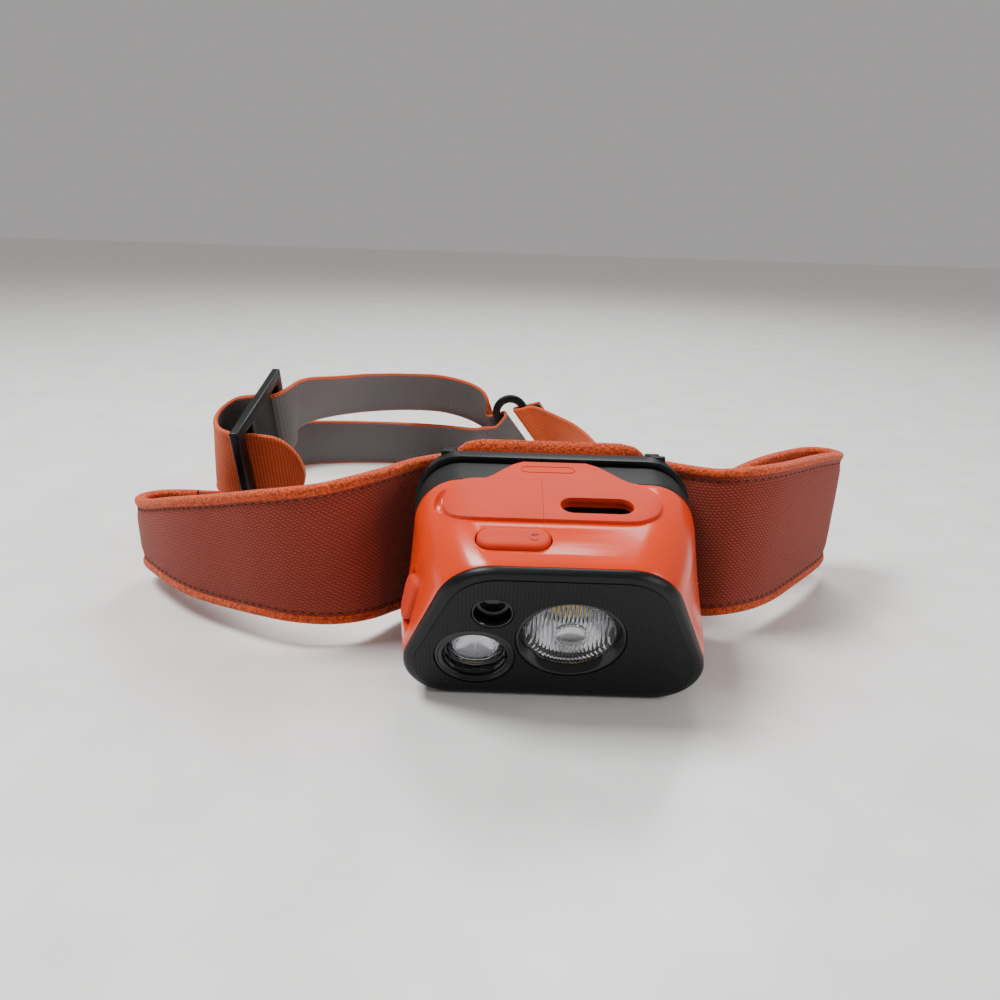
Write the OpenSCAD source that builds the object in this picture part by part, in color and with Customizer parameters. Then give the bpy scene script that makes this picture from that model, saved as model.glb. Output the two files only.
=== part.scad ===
// Rechargeable headlamp: a tilting lamp on a padded front band with an adjustable rear strap.
// Frame: +Z up, +X to the right of someone who faces the lamp, the beam goes towards -Y.
// Origin: middle of the lower front edge of the lamp, on the surface that it stands on.

/* [Lamp body] */
// Depth of the lamp from the lower front edge to the back wall
body_depth = 27; // [25:0.5:36]
// Forward lean of the front face, in degrees
face_tilt = 20; // [14:1:24]
// Half the width of the front face
face_half_w = 32.3; // [30:0.1:40]
// Height of the front face, measured along it
face_h = 38.4; // [36:0.1:46]
// Half the width of the back wall
back_half_w = 33.5; // [32:0.1:42]
// Height of the back wall
back_h = 45.5; // [43:0.5:54]
// Wall of the housing
wall = 1.6; // [1.2:0.1:2]
// Height of the side seam between the front shell and the rear housing
belt_z = 8; // [7:0.5:10]

/* [Optics] */
// Radius of the flood lens
flood_r = 9.6; // [8.5:0.1:10.4]
// Radius of the bevelled recess round the flood lens
flood_recess_r = 11.6; // [11.2:0.1:12]
// Radius of the spot lens
spot_r = 6.4; // [5.5:0.1:7]
// Radius of the ring round the spot lens
spot_ring_r = 8.6; // [8:0.1:8.9]
// Radius of the light sensor window
sensor_r = 4.3; // [3.5:0.1:4.6]

/* [Buttons and cover] */
// Length of the power button
power_len = 15; // [12:0.5:17]
// Width of the power button
power_w = 6; // [5:0.5:6.5]
// Travel of the power button
power_travel = 1; // [0.6:0.1:1.2]
// Height of the side button
side_h = 10.5; // [8:0.5:12]
// Travel of the side button
side_travel = 0.8; // [0.5:0.1:1]
// Thickness of the soft cover over the socket
cover_t = 1.4; // [1.2:0.1:1.8]

/* [Bracket and hinge] */
// Height of the bracket
bracket_h = 46.8; // [45.5:0.1:55]
// Thickness of the bracket plate
bracket_t = 2.2; // [1.8:0.1:2.6]
// Radius of the hinge pins
pin_r = 1.5; // [1.2:0.1:1.8]
// Running clearance of the hinge, on the radius
pin_clear = 0.05; // [0.02:0.01:0.1]
// Radius of the hinge knuckles
knuckle_r = 3.6; // [3.4:0.1:3.6]

/* [Band and strap] */
// Thickness of the padded front band
band_t = 3; // [2.4:0.1:3.4]
// Width of the rear strap
strap_w = 20; // [18:0.5:20.5]
// Thickness of the rear strap
strap_t = 1.3; // [1:0.1:1.6]
// Length of the strap adjuster
adjuster_len = 38; // [36:0.5:40]
// Height of the strap adjuster
adjuster_h = 31; // [30:0.5:33]
// Length of the strap ring
ring_len = 31; // [30:0.5:33]
// Width of the strap ring
ring_w = 14; // [13:0.5:15]

/* [Hidden] */
$fn = 48;

fit = 0.15;          // gap between pieces that are fixed to each other
free = 0.3;          // gap between pieces that move past each other
corner_steps = 6;    // steps round each corner of the body's outline
bezel_end = 0.035;   // share of the body's depth that the bezel's rim takes
plug_end = 0.1;      // how far its plug reaches into the shell
shell_end = 0.72;    // share of the body's depth where the front shell ends

orange = [0.86, 0.29, 0.12];
soft_orange = [0.84, 0.31, 0.2];
black = [0.11, 0.12, 0.13];
brick = [0.6, 0.25, 0.17];
grey = [0.37, 0.34, 0.35];
steel = [0.7, 0.7, 0.72];

// ---- outline of the body ----
// A section is [y, tilt, [x, z, r] of the lower corner circle, [x, z, r] of the upper one].
function mix(a, b, t) = a + (b - a) * t;
function ease(t) = t < 0 ? 1.8 * t : t > 1 ? 1 : 1 - pow(1 - t, 1.8);
function swell(t) = t < 0 || t > 1 ? 0 : sin(180 * t);
function lean(t) = t > 1 ? 0 : face_tilt * (t < 0 ? 1 - 1.3 * t : pow(1 - t, 1.3));
face_low = [face_half_w - 10, 10, 10];
face_top = [face_half_w - 20.2, face_h - 13, 13];
back_low = [back_half_w - 8, 8, 8];
back_top = [back_half_w - 12, back_h - 11, 11];
low_swell = [-3.4, 4.6, 4.6];    // how far the sides bulge halfway back
function section(t) = [body_depth * t, lean(t), mix(face_low, back_low, ease(t)) + low_swell * swell(t),
    mix(face_top, back_top, ease(t)) + [0.4, 0, 0] * swell(t)];
function tangent_angle(lo, up) = let (d = [up[0] - lo[0], up[1] - lo[1]])
    atan2(d[1], d[0]) - acos((lo[2] - up[2]) / norm(d));
function right_side(lo, up, grow) = let (mid = tangent_angle(lo, up), n = corner_steps) [
    for (i = [0:n]) let (a = mix(-90, mid, i / n))
        [lo[0] + (lo[2] + grow) * cos(a), lo[1] + (lo[2] + grow) * sin(a)],
    for (i = [0:n]) let (a = mix(mid, 90, i / n))
        [up[0] + (up[2] + grow) * cos(a), up[1] + (up[2] + grow) * sin(a)]];
function outline(sec, grow) = let (half = right_side(sec[2], sec[3], grow), n = len(half)) [
    for (p = half) p,
    for (i = [0:n - 1]) [-half[n - 1 - i][0], half[n - 1 - i][1]]];
function place(sec, p) = [p[0], sec[0] - p[1] * sin(sec[1]), p[1] * cos(sec[1])];
function ring_at(t, grow) = let (sec = section(t)) [for (p = outline(sec, grow)) place(sec, p)];
function height_at(t) = let (s = section(t)) s[3][1] + s[3][2];
function top_at(t) = let (s = section(t)) place(s, [0, height_at(t)]);

// A closed solid through rings of equal length; the first ring is the front one.
module skin(rings) {
    m = len(rings[0]);
    last = len(rings) - 1;
    sides = [for (k = [0:last - 1]) for (i = [0:m - 1]) let (j = (i + 1) % m)
        each [[k * m + i, (k + 1) * m + j, (k + 1) * m + i], [k * m + i, k * m + j, (k + 1) * m + j]]];
    front = [for (i = [0:m - 1]) m - 1 - i];
    back = [for (i = [0:m - 1]) last * m + i];
    polyhedron([for (r = rings) for (p = r) p], concat(sides, [front, back]));
}
// The body between two shares of its depth, grown or shrunk.
module body_part(t0, t1, grow = 0, steps = 3) {
    skin([for (i = [0:steps]) ring_at(mix(t0, t1, i / steps), grow)]);
}
// Frame of the front face: x across, y up the face, z out towards the viewer.
module on_face() { rotate([90 + face_tilt, 0, 0]) children(); }
// Curved shells are cut as meshes; the bores in them stay round.
module meshed() { resize([0, 0, 0]) children(); }
module above(z) { translate([-60, -60, z]) cube([120, 140, 80]); }
module below(z) { translate([-60, -60, z - 80]) cube([120, 140, 80]); }

// ---- places on the face ----
flood_at = [3, 19.3];
spot_at = [-17, 13];
sensor_at = [-13.4, 27];
optic_depth = 9;     // how far the optics reach behind the face
lens_inset = 1.2;    // how far the flood lens sits behind the face
lens_t = 1.6;
board_z = -(optic_depth + 0.3);
board_t = 1.6;
sink_t = 1.2;

// ---- power button and side button ----
power_at = [-9.6, -5];
power_slope = 17;    // slope of the top surface at the button
power_top = 40.3;    // height of the button's outer face
power_t = 3.4;
side_at = [-(face_half_w + 0.3), 3, 22];
side_len = 8;
side_out = 0.7;      // how far the side button stands out

module power_frame() {
    translate([power_at[0], power_at[1], power_top]) rotate([power_slope, 0, 0]) children();
}
module pill(len, wid, t) {
    for (s = [-1, 1]) translate([s * (len - wid) / 2, 0, -t]) cylinder(d = wid, h = t);
    translate([-(len - wid) / 2, -wid / 2, -t]) cube([len - wid, wid, t]);
}

// ---- soft cover on the top ----
cover_lo = -0.6;     // depth of the cover's seat below the body's surface
cover_y = [0.5, 15.9];
cover_x = [-25, 22];
flap_split = -3.5;   // the flap bends here
slot_at = [8, 5.6];
slot_len = 16.4;
slot_w = 6.4;
tongue_half = [8, 17];
tongue_end = 26.6;
socket_at = [-14, 8.2];

module cover_plan(grow = 0) {
    r = (cover_y[1] - cover_y[0]) / 2;
    ym = (cover_y[0] + cover_y[1]) / 2;
    for (x = [cover_x[0] + r, cover_x[1] - r]) translate([x, ym]) circle(r + grow);
    translate([cover_x[0] + r, cover_y[0] - grow])
        square([cover_x[1] - cover_x[0] - 2 * r, 2 * (r + grow)]);
}
module tongue_plan(grow = 0) {
    polygon([[-tongue_half[1] - grow, cover_y[1] - 5], [-tongue_half[1] - grow, cover_y[1]],
        [-tongue_half[0] - grow, tongue_end - 2], [-tongue_half[0] + 2, tongue_end],
        [tongue_half[0] - 2, tongue_end], [tongue_half[0] + grow, tongue_end - 2],
        [tongue_half[1] + grow, cover_y[1]], [tongue_half[1] + grow, cover_y[1] - 5]]);
}
module through_slot(grow = 0) {
    for (s = [-1, 1]) translate([slot_at[0] + s * (slot_len - slot_w) / 2, slot_at[1], 30])
        cylinder(d = slot_w + 2 * grow, h = 30);
    translate([slot_at[0] - (slot_len - slot_w) / 2, slot_at[1] - slot_w / 2 - grow, 30])
        cube([slot_len - slot_w, slot_w + 2 * grow, 30]);
}
// The layer between two offsets of the body's surface, over the cover's plan.
module cover_layer(lo, hi) {
    intersection() {
        difference() {
            body_part(-0.02, 1.02, hi, 6);
            body_part(-0.3, 1.3, lo, 8);
        }
        children();
    }
}

// ---- hinge and bracket ----
hinge_y = body_depth + knuckle_r + 0.4;
hinge_z = 4.5;
ear_x = [24, 30];
lug_x = [16.6, 23.6];
plate_y = body_depth + 2.8;
bracket_half_w = back_half_w - 0.4;
plate_low = hinge_z + knuckle_r + 1.9;
loop_x = 25.5;
loop_w = 3.5;
band_y = hinge_y + knuckle_r + 0.7 + band_t / 2;
loop_y = band_y + band_t / 2 + 0.4;
loop_t = 1.6;
bracket_low = [bracket_half_w - 8, 8, 8];
bracket_top = [bracket_half_w - 11, bracket_h - 11, 11];
bracket_section = [0, 0, bracket_low, bracket_top];

// A flat solid with the bracket's outline, from y0 to y1.
module bracket_slab(y0, y1, grow = 0) {
    translate([0, y1, 0]) rotate([90, 0, 0]) linear_extrude(y1 - y0)
        polygon(outline(bracket_section, grow));
}
module along_x(x0, x1, r) {
    translate([x0, hinge_y, hinge_z]) rotate([0, 90, 0]) cylinder(r = r, h = x1 - x0);
}

// ---- padded band: stations of [x, y, lower edge, upper edge] ----
left_path = [[-26.7, band_y, 3.8, 44.6], [-33.8, band_y - 1.8, 3.6, 43.6], [-39.6, 29.6, 3.9, 43],
    [-43.4, 24.4, 4.7, 43.2], [-48, 20.2, 5.6, 43], [-54, 18.2, 6, 42], [-62, 18, 6.5, 40.8],
    [-70, 20, 6.8, 39.2], [-78.5, 24, 6.3, 36.8], [-88, 29, 5.8, 34.1], [-97, 35, 5.8, 31.2],
    [-105.5, 42.5, 6, 27.7], [-110.6, 48.4, 5.4, 25.9], [-112, 52.6, 5.2, 25.4],
    [-109.6, 56, 5, 25.2], [-105, 57.2, 5, 25.2], [-98.5, 57.4, 5, 25.2]];
right_path = [[26.7, band_y, 3.8, 44.6], [33.8, band_y - 1.8, 3.8, 44], [40, 31.4, 4.4, 44.4],
    [46, 30, 5.8, 45.3], [53.6, 33, 6.1, 45.4], [61, 39, 5.9, 44.8], [69, 47, 6.2, 43.9],
    [77, 56, 5.8, 42.3], [83, 63.4, 5.6, 40.6], [85.4, 69, 5.6, 39.6], [83.6, 73.8, 6, 39],
    [78.6, 75, 6.2, 38.6], [70, 71.6, 6.8, 37.8], [61, 66.2, 8, 36.8], [53, 61.2, 9.6, 34.6],
    [48.4, 58.8, 10.6, 31]];

function flat(p) = [p[0], p[1]];
function unit(v) = v / norm(v);
function heading(path, i) = let (n = len(path) - 1)
    unit(flat(path[min(i + 1, n)]) - flat(path[max(i - 1, 0)]));
// Each station becomes four corners: the near and far side, low and high.
function wing_ring(path, i, t) = let (p = path[i], h = heading(path, i), s = [h[1], -h[0]] * t / 2) [
    [p[0] + s[0], p[1] + s[1], p[2]], [p[0] + s[0], p[1] + s[1], p[3]],
    [p[0] - s[0], p[1] - s[1], p[3]], [p[0] - s[0], p[1] - s[1], p[2]]];
module wing(path, t) { skin([for (i = [0:len(path) - 1]) wing_ring(path, i, t)]); }

// ---- rear strap: stations of [x, y, z] of the lower edge and [x, y] of the lean to the upper edge ----
strap_path = [[-98.1, 57.4, 5.2, 0, 0], [-92, 58, 5, 0, 0], [-88.4, 62.5, 4, 0, 0], [-88, 75, 2.5, 0, 0],
    [-92, 90, 1, 0, 0], [-97, 108, 0, 0, 0], [-102, 126, 0, 0, 0], [-105, 143, 0, 0, 0],
    [-102.5, 156, 0, 1, -1], [-93, 164.5, 0, 1, -3], [-74, 169, 0, 0, -4.5], [-54, 170, 0, 0, -5],
    [-38, 167, 0, 0, -4.5], [-24, 161, 0.5, -1, -4], [-17.5, 154.6, 2.5, -4, -3],
    [-11, 148.4, 5.2, -8.5, -1.4], [-3.7, 144.7, 8.2, -12, 0], [-1.3, 144.7, 10.6, -12, 0],
    [0.1, 145.4, 12.5, -12, 0], [0, 147, 13.5, -12, 0], [-0.7, 148.6, 13.5, -12, 0],
    [-2.7, 149.3, 12.5, -12, 0], [-7.1, 150, 11.9, -12, 0], [-13, 154.5, 15.5, -6, -5],
    [-20, 160, 19.5, -1.5, -8.5], [-28, 164.6, 22.2, 0, -9.6], [-39, 167.6, 24, 0, -10],
    [-53, 163, 25.4, 2, -10.4], [-66, 149, 27.6, 6, -9], [-75, 129, 30.4, 9.4, -6],
    [-79.6, 108, 33, 9.6, -4.6], [-79.6, 93, 34, 5.4, -6], [-77.4, 84.6, 33.4, 1, -8],
    [-77.4, 79.8, 32.2, -0.2, -6.6], [-79.2, 77.5, 31.6, -0.1, -6.4], [-81.8, 77.6, 31.6, -0.1, -6.4],
    [-85.4, 79, 31, -0.4, -6.6], [-91, 79.4, 29, -0.4, -4.4],
    [-94.8, 74.6, 26.4, 0, -2], [-95.8, 68, 24.6, 0.4, 0], [-94, 61.4, 24, 1, 0],
    [-89.6, 57.6, 24.2, 0.4, -2.4], [-84.6, 56.4, 24.4, 0, -4.6], [-80.8, 56.4, 24.6, 0, -5],
    [-76.4, 56, 24.4, 0, -5], [-71, 55.4, 23.8, 0, -4.6], [-66.4, 54.8, 23.2, 0, -4.4]];
ring_strap_path = [[48, 58.4, 10.8, 0, 0], [39, 57.6, 9, 0, 0], [31, 61, 7, 0, 0], [27, 72, 5, 0, 0],
    [25, 90, 4, 0, 0], [23.4, 108, 4, 0, 0], [22, 124, 5.4, -1, 0], [19.5, 134, 8.6, -4, 0],
    [16, 141, 12, -8, 0], [11.1, 144.4, 16.8, -12, 0], [6.4, 144.7, 15.8, -12, 0],
    [4, 145.4, 15.2, -12, 0], [3.6, 147, 14.9, -12, 0], [4, 148.6, 15.3, -12, 0],
    [6.4, 149.3, 15.8, -12, 0], [9.9, 149, 16.7, -12, 0], [12.9, 147, 17.8, -11.6, 0]];
keeper_path = [[-81.4, 68.7, 9.2, 0, 0], [-83.4, 70, 9, 0, 0], [-86.6, 72.8, 8.4, 0, 0],
    [-86.5, 78, 7.8, 0, 0]];
keeper_w = 8;

function low(p) = [p[0], p[1], p[2]];
function high(p, w) = [p[0] + p[3], p[1] + p[4], p[2] + sqrt(w * w - p[3] * p[3] - p[4] * p[4])];
function centre(p, w) = (low(p) + high(p, w)) / 2;
function ribbon_ring(path, i, w, t) = let (n = len(path) - 1,
    run = centre(path[min(i + 1, n)], w) - centre(path[max(i - 1, 0)], w),
    s = unit(cross(run, high(path[i], w) - low(path[i]))) * t / 2)
    [low(path[i]) + s, high(path[i], w) + s, high(path[i], w) - s, low(path[i]) - s];
module ribbon(path, w, t) { skin([for (i = [0:len(path) - 1]) ribbon_ring(path, i, w, t)]); }

// ---- strap adjuster and ring ----
adjuster_at = [-81, 50, 16.7];
adjuster_turn = 88;
adjuster_rise = 16;
adjuster_t = 2.4;
adjuster_rail = 3.2;
end_bar = 5;
adjuster_slot = 6.5;
lug_len = 10;
lug_drop = 5;
module adjuster_frame() {
    translate(adjuster_at) rotate([0, 0, adjuster_turn]) rotate([0, -adjuster_rise, 0]) children();
}
ring_at_c = [-4.5, 147, 22.6];
ring_lean = 37;
ring_bar = 3;
ring_t = 2.6;
module ring_frame() { translate(ring_at_c) rotate([0, -ring_lean, 0]) rotate([90, 0, 0]) children(); }
module stadium(len, wid, t) {
    for (s = [-1, 1]) translate([0, s * (len - wid) / 2, -t / 2]) cylinder(d = wid, h = t);
    translate([-wid / 2, -(len - wid) / 2, -t / 2]) cube([wid, len - wid, t]);
}

// ================= pieces =================
module bezel() {
    color(black) difference() {
        meshed() difference() {
            union() {
                body_part(0, bezel_end - 0.003, 0, 1);
                body_part(0.025, plug_end, -wall - free - 0.1, 1);
            }
            body_part(0.06, 0.3, -wall - free - 1.3, 1);
        }
        on_face() {
            translate([flood_at[0], flood_at[1], -8]) cylinder(r = flood_recess_r, h = 12);
            translate([spot_at[0], spot_at[1], -8]) cylinder(r = spot_ring_r + 0.05, h = 12);
            translate([sensor_at[0], sensor_at[1], -8]) cylinder(r = sensor_r + 0.05, h = 12);
        }
    }
}

module front_shell() {
    color(orange) difference() {
        meshed() difference() {
            body_part(bezel_end, shell_end, 0, 5);
            body_part(-0.1, 1.2, -wall, 6);
            below(belt_z);
            cover_layer(cover_lo - fit, 3) translate([0, 0, 30]) linear_extrude(30) {
                cover_plan(fit);
                tongue_plan(fit);
            }
        }
        power_frame() translate([0, 0, 2]) pill(power_len + 2 * free, power_w + 2 * free, 12);
        translate([side_at[0] - 4, side_at[1] - side_len / 2 - free, side_at[2] - side_h / 2 - free])
            cube([10, side_len + 2 * free, side_h + 2 * free]);
        through_slot();
        translate([socket_at[0] - 5.6, socket_at[1] - 2.6, 30]) cube([11.2, 5.2, 20]);
    }
}

screw_z = [13, 36];
screw_x = 26;
module rear_housing() {
    inner_end = 1 - wall / body_depth;
    color(black) {
        difference() {
            meshed() difference() {
                union() {
                    intersection() {
                        body_part(bezel_end, shell_end + 0.05, -0.12, 5);
                        below(belt_z - fit);
                    }
                    body_part(shell_end + 0.006, 1, 0, 3);
                }
                body_part(-0.1, inner_end, -wall, 6);
                cover_layer(cover_lo - fit, 3) translate([0, 0, 30]) linear_extrude(30) tongue_plan(fit);
            }
            for (s = [-1, 1]) for (z = screw_z) translate([s * screw_x, body_depth + 1, z])
                rotate([90, 0, 0]) cylinder(r = 1.1, h = 12);
        }
        for (s = [-1, 1]) difference() {
            union() {
                along_x(s > 0 ? lug_x[0] : -lug_x[1], s > 0 ? lug_x[1] : -lug_x[0], knuckle_r - 0.2);
                translate([s > 0 ? lug_x[0] : -lug_x[1], body_depth - 0.6, hinge_z - 2.4])
                    cube([lug_x[1] - lug_x[0], hinge_y - body_depth + 0.6, 4.8]);
            }
            along_x(-40, 40, pin_r + pin_clear);
        }
        for (s = [-1, 1]) for (z = screw_z) translate([s * screw_x, body_depth - wall + 0.3, z])
            rotate([90, 0, 0]) difference() {
                cylinder(r = 2.4, h = 6);
                translate([0, 0, -1]) cylinder(r = 1.1, h = 8);
            }
    }
}

module housing_seal() {
    color([0.2, 0.2, 0.2]) meshed() difference() {
        body_part(shell_end - 0.05, shell_end + 0.04, -wall - free - 0.1, 1);
        body_part(shell_end - 0.1, shell_end + 0.1, -wall - free - 1.4, 1);
        below(belt_z + 0.7);
    }
}

module housing_screws() {
    color(steel) for (s = [-1, 1]) for (z = [13, 36]) translate([s * 26, body_depth, z]) rotate([90, 0, 0]) {
        translate([0, 0, -0.6]) difference() {
            cylinder(r = 1.9, h = 0.6);
            translate([0, 0, -0.1]) cylinder(r = 0.8, h = 0.4);
        }
        cylinder(r = 1.08, h = 7);
    }
}

module flood_lens() {
    color([0.9, 0.95, 1, 0.5]) on_face() translate([flood_at[0], flood_at[1], -lens_inset - lens_t]) {
        cylinder(r = flood_r, h = lens_t);
        translate([0, 0, -0.8]) cylinder(r = 3, h = 0.9);
    }
}

module flood_reflector() {
    color([0.15, 0.15, 0.16]) on_face() translate([flood_at[0], flood_at[1], -optic_depth]) difference() {
        cylinder(r = flood_recess_r - fit, h = optic_depth - 0.2);
        translate([0, 0, optic_depth - lens_inset - lens_t - 0.1]) cylinder(r = flood_r + 0.1, h = 4);
        translate([0, 0, 1]) cylinder(r1 = 3.4, r2 = flood_r - 0.6, h = optic_depth - lens_inset - lens_t - 1.09);
        translate([0, 0, -1]) cylinder(r = 3.2, h = 4);
    }
}

module spot_ring() {
    color(black) on_face() translate([spot_at[0], spot_at[1], -optic_depth]) difference() {
        cylinder(r = spot_ring_r, h = optic_depth - 0.1);
        translate([0, 0, 3.4]) cylinder(r = spot_r, h = 10);
        translate([0, 0, 1]) cylinder(r1 = 2.8, r2 = spot_r - 0.8, h = 2.41);
        translate([0, 0, -1]) cylinder(r = 2.6, h = 3);
    }
}

module spot_lens() {
    color([0.9, 0.95, 1, 0.5]) on_face() translate([spot_at[0], spot_at[1], -optic_depth + 3.5]) {
        cylinder(r = spot_r - 0.1, h = 1.4);
        translate([0, 0, 1.3]) cylinder(r1 = 3.6, r2 = 2.2, h = 1.6);
    }
}

module sensor_window() {
    color([0.1, 0.06, 0.06]) on_face() translate([sensor_at[0], sensor_at[1], -3.4])
        cylinder(r = sensor_r, h = 2.6);
}

module led_board() {
    color([0.1, 0.35, 0.2]) on_face() translate([0, 0, board_z - board_t]) difference() {
        translate([-23, 7, 0]) cube([40, 22, board_t]);
        for (p = [[-21.4, 9], [15.4, 9]]) translate([p[0], p[1], -1]) cylinder(r = 0.9, h = 4);
    }
}

module flood_led() {
    color([0.95, 0.85, 0.3]) on_face() translate([flood_at[0] - 1.75, flood_at[1] - 1.75, board_z + 0.02]) cube([3.5, 3.5, 1]);
}
module spot_led() {
    color([0.95, 0.85, 0.3]) on_face() translate([spot_at[0] - 1.5, spot_at[1] - 1.5, board_z + 0.02]) cube([3, 3, 0.9]);
}
module light_sensor() {
    color([0.1, 0.1, 0.1]) on_face() translate([sensor_at[0] - 1.5, sensor_at[1] - 1.5, board_z + 0.02])
        cube([3, 3, -board_z - 3.6]);
}
module heat_sink() {
    color([0.75, 0.75, 0.78]) on_face() translate([-22, 8, board_z - board_t - sink_t - 0.02]) cube([38, 20, sink_t]);
}

board_y = [10, 11.6];
module main_board() {
    color([0.1, 0.35, 0.2]) translate([-26, board_y[0], 8]) difference() {
        union() {
            cube([52, board_y[1] - board_y[0], 27.4]);
            translate([14, 0, wall + 0.05 - 8]) cube([24, board_y[1] - board_y[0], 8]);
        }
        for (x = [3, 49]) translate([x, -1, 4]) rotate([-90, 0, 0]) cylinder(r = 1, h = 4);
    }
}
battery_y = [13.2, 24.6];
module battery_pack() {
    color([0.25, 0.4, 0.6]) {
        translate([-20, battery_y[0], wall + 0.05]) cube([40, battery_y[1] - battery_y[0], 36]);
    }
}
module battery_contacts() {
    color([0.8, 0.7, 0.4]) for (x = [-12, -2, 8]) {
        translate([x, board_y[1] + 0.02, 14]) cube([4, 0.6, 9]);
        translate([x, board_y[1] + 0.5, 21]) cube([4, battery_y[0] - board_y[1] - 0.54, 0.8]);
    }
}
module usb_socket() {
    color(steel) translate([socket_at[0], socket_at[1], 0]) difference() {
        translate([-4.5, -1.7, 34]) cube([9, 3.3, 7]);
        translate([-3.9, -1.1, 35]) cube([7.8, 2.1, 7]);
    }
}

module power_button() {
    color(soft_orange) power_frame() {
        pill(power_len, power_w, power_t);
        translate([0, 0, -power_t + 0.02]) pill(power_len + 3, power_w + 2, 0.8);
        translate([0, 0, -power_t - 2.2]) cylinder(r = 1.4, h = 1.5);
    }
}
module power_switch() {
    color(black) power_frame() translate([-2.6, -2.6, -power_t - 2.2 - power_travel - 2.3]) {
        cube([5.2, 5.2, 1.8]);
        translate([2.6, 2.6, 1.7]) cylinder(r = 1.2, h = 0.55);
        translate([1, 2.8, -1.5]) cube([3.2, 2.4, 1.6]);
    }
}
module side_button() {
    color(soft_orange) {
        translate([side_at[0] - side_out, side_at[1] - side_len / 2, side_at[2] - side_h / 2])
            cube([4.7 + side_out, side_len, side_h]);
        translate([side_at[0] + 4.6, side_at[1] - side_len / 2 + 1, side_at[2] - side_h / 2 - 1])
            cube([0.8, side_len + 0.2, side_h - 1]);
    }
}
module side_switch() {
    color(black) translate([side_at[0] + 5.4 + side_travel + 0.05, side_at[1] - 1.8, side_at[2] - 2.6]) {
        translate([0.45, 0, 0]) cube([1.3, board_y[0] - side_at[1] + 1.78, 5.2]);
        translate([0, 1.8, 2.6]) rotate([0, 90, 0]) cylinder(r = 1.1, h = 0.5);
    }
}

module slot_pocket() {
    color(black) translate([slot_at[0], slot_at[1], 41]) difference() {
        pill(slot_len - 2 * fit, slot_w - 2 * fit, 2.9);
        translate([0, 0, 0.1]) pill(slot_len - 2 * fit - 1.4, slot_w - 2 * fit - 1.4, 2.2);
    }
}
module cover_anchor() {
    color(soft_orange) difference() {
        meshed() cover_layer(cover_lo, cover_lo + cover_t) translate([0, 0, 30]) linear_extrude(30) {
            intersection() {
                cover_plan();
                translate([flap_split + fit, -10]) square([60, 60]);
            }
            difference() {
                tongue_plan();
                translate([-60, -10]) square([60 + flap_split + fit, 10 + cover_y[1] + free]);
            }
        }
        through_slot(-0.4);
    }
}
module cover_flap() {
    color(soft_orange) meshed() cover_layer(cover_lo, cover_lo + cover_t) translate([0, 0, 30])
        linear_extrude(30) intersection() {
            cover_plan();
            translate([-60, -10]) square([60 + flap_split, 60]);
        }
}

module bracket() {
    color(black) difference() {
        union() {
            difference() {
                bracket_slab(body_depth + 0.4, plate_y + bracket_t);
                bracket_slab(body_depth, plate_y, -1.6);
                translate([-60, 0, -10]) cube([120, 60, plate_low + 10]);
            }
            for (s = [-1, 1]) {
                along_x(s > 0 ? ear_x[0] : -ear_x[1], s > 0 ? ear_x[1] : -ear_x[0], knuckle_r - 0.2);
                translate([s > 0 ? ear_x[0] : -ear_x[1], plate_y, hinge_z])
                    cube([ear_x[1] - ear_x[0], bracket_t, plate_low - hinge_z + 0.1]);
                translate([s * loop_x - loop_w / 2, loop_y, 1.6]) cube([loop_w, loop_t, bracket_h - 2.4]);
                translate([s * loop_x - loop_w / 2, plate_y + bracket_t - 0.1, bracket_h - 1.8])
                    cube([loop_w, loop_y + loop_t - plate_y - bracket_t + 0.1, 1.6]);
                translate([s * loop_x - loop_w / 2 + (s > 0 ? 0.5 : 0), hinge_y, 1.6])
                    cube([loop_w - 0.5, loop_y + loop_t - hinge_y, 1.6]);
            }
        }
        along_x(-40, 40, pin_r + 0.01);
    }
}
module hinge_pins() {
    color(steel) for (s = [-1, 1]) along_x(s > 0 ? lug_x[0] : -ear_x[1] - 0.3, s > 0 ? ear_x[1] + 0.3 : -lug_x[0], pin_r);
}
module detent_spring() {
    color(steel) {
        translate([-6, plate_y + bracket_t + 0.02, 2.4]) cube([12, 0.4, 14]);
    }
}

module band_left() { color(brick) wing(left_path, band_t); }
module band_right() {
    color(brick) wing(right_path, band_t);
}
module band_middle() {
    color(brick) translate([-26.1, band_y - band_t / 2, 3.8]) cube([52.2, band_t, 40.8]);
}
module forehead_pad() {
    color([0.85, 0.4, 0.2]) translate([0, loop_y + loop_t + 0.3 + 4, 0]) rotate([90, 0, 0]) linear_extrude(4)
        polygon(outline([0, 0, [21, 8, 6], [13, 38.4, 9]], 0));
}

module rear_strap() { color(grey) ribbon(strap_path, strap_w, strap_t); }
module ring_strap() { color(grey) ribbon(ring_strap_path, strap_w, strap_t); }
module adjuster_keeper() { color(grey) ribbon(keeper_path, keeper_w, 1); }

module strap_adjuster() {
    plate_x = [end_bar + adjuster_slot, adjuster_len - end_bar - adjuster_slot];
    color(black) adjuster_frame() translate([0, adjuster_t / 2, 0]) rotate([90, 0, 0]) {
        difference() {
            linear_extrude(adjuster_t) square([adjuster_len, adjuster_h]);
            for (x = [end_bar, plate_x[1]]) translate([x, adjuster_rail, -1])
                cube([adjuster_slot, adjuster_h - 2 * adjuster_rail, adjuster_t + 2]);
        }
        translate([(adjuster_len - lug_len) / 2, -lug_drop, 0]) difference() {
            cube([lug_len, lug_drop + 0.1, adjuster_t]);
            translate([1.2, 1.4, -1]) cube([lug_len - 2.4, 2, adjuster_t + 2]);
        }
    }
}
module strap_ring() {
    color(black) ring_frame() difference() {
        stadium(ring_len, ring_w, ring_t);
        stadium(ring_len - 2 * ring_bar, ring_w - 2 * ring_bar, ring_t + 2);
    }
}

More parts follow.
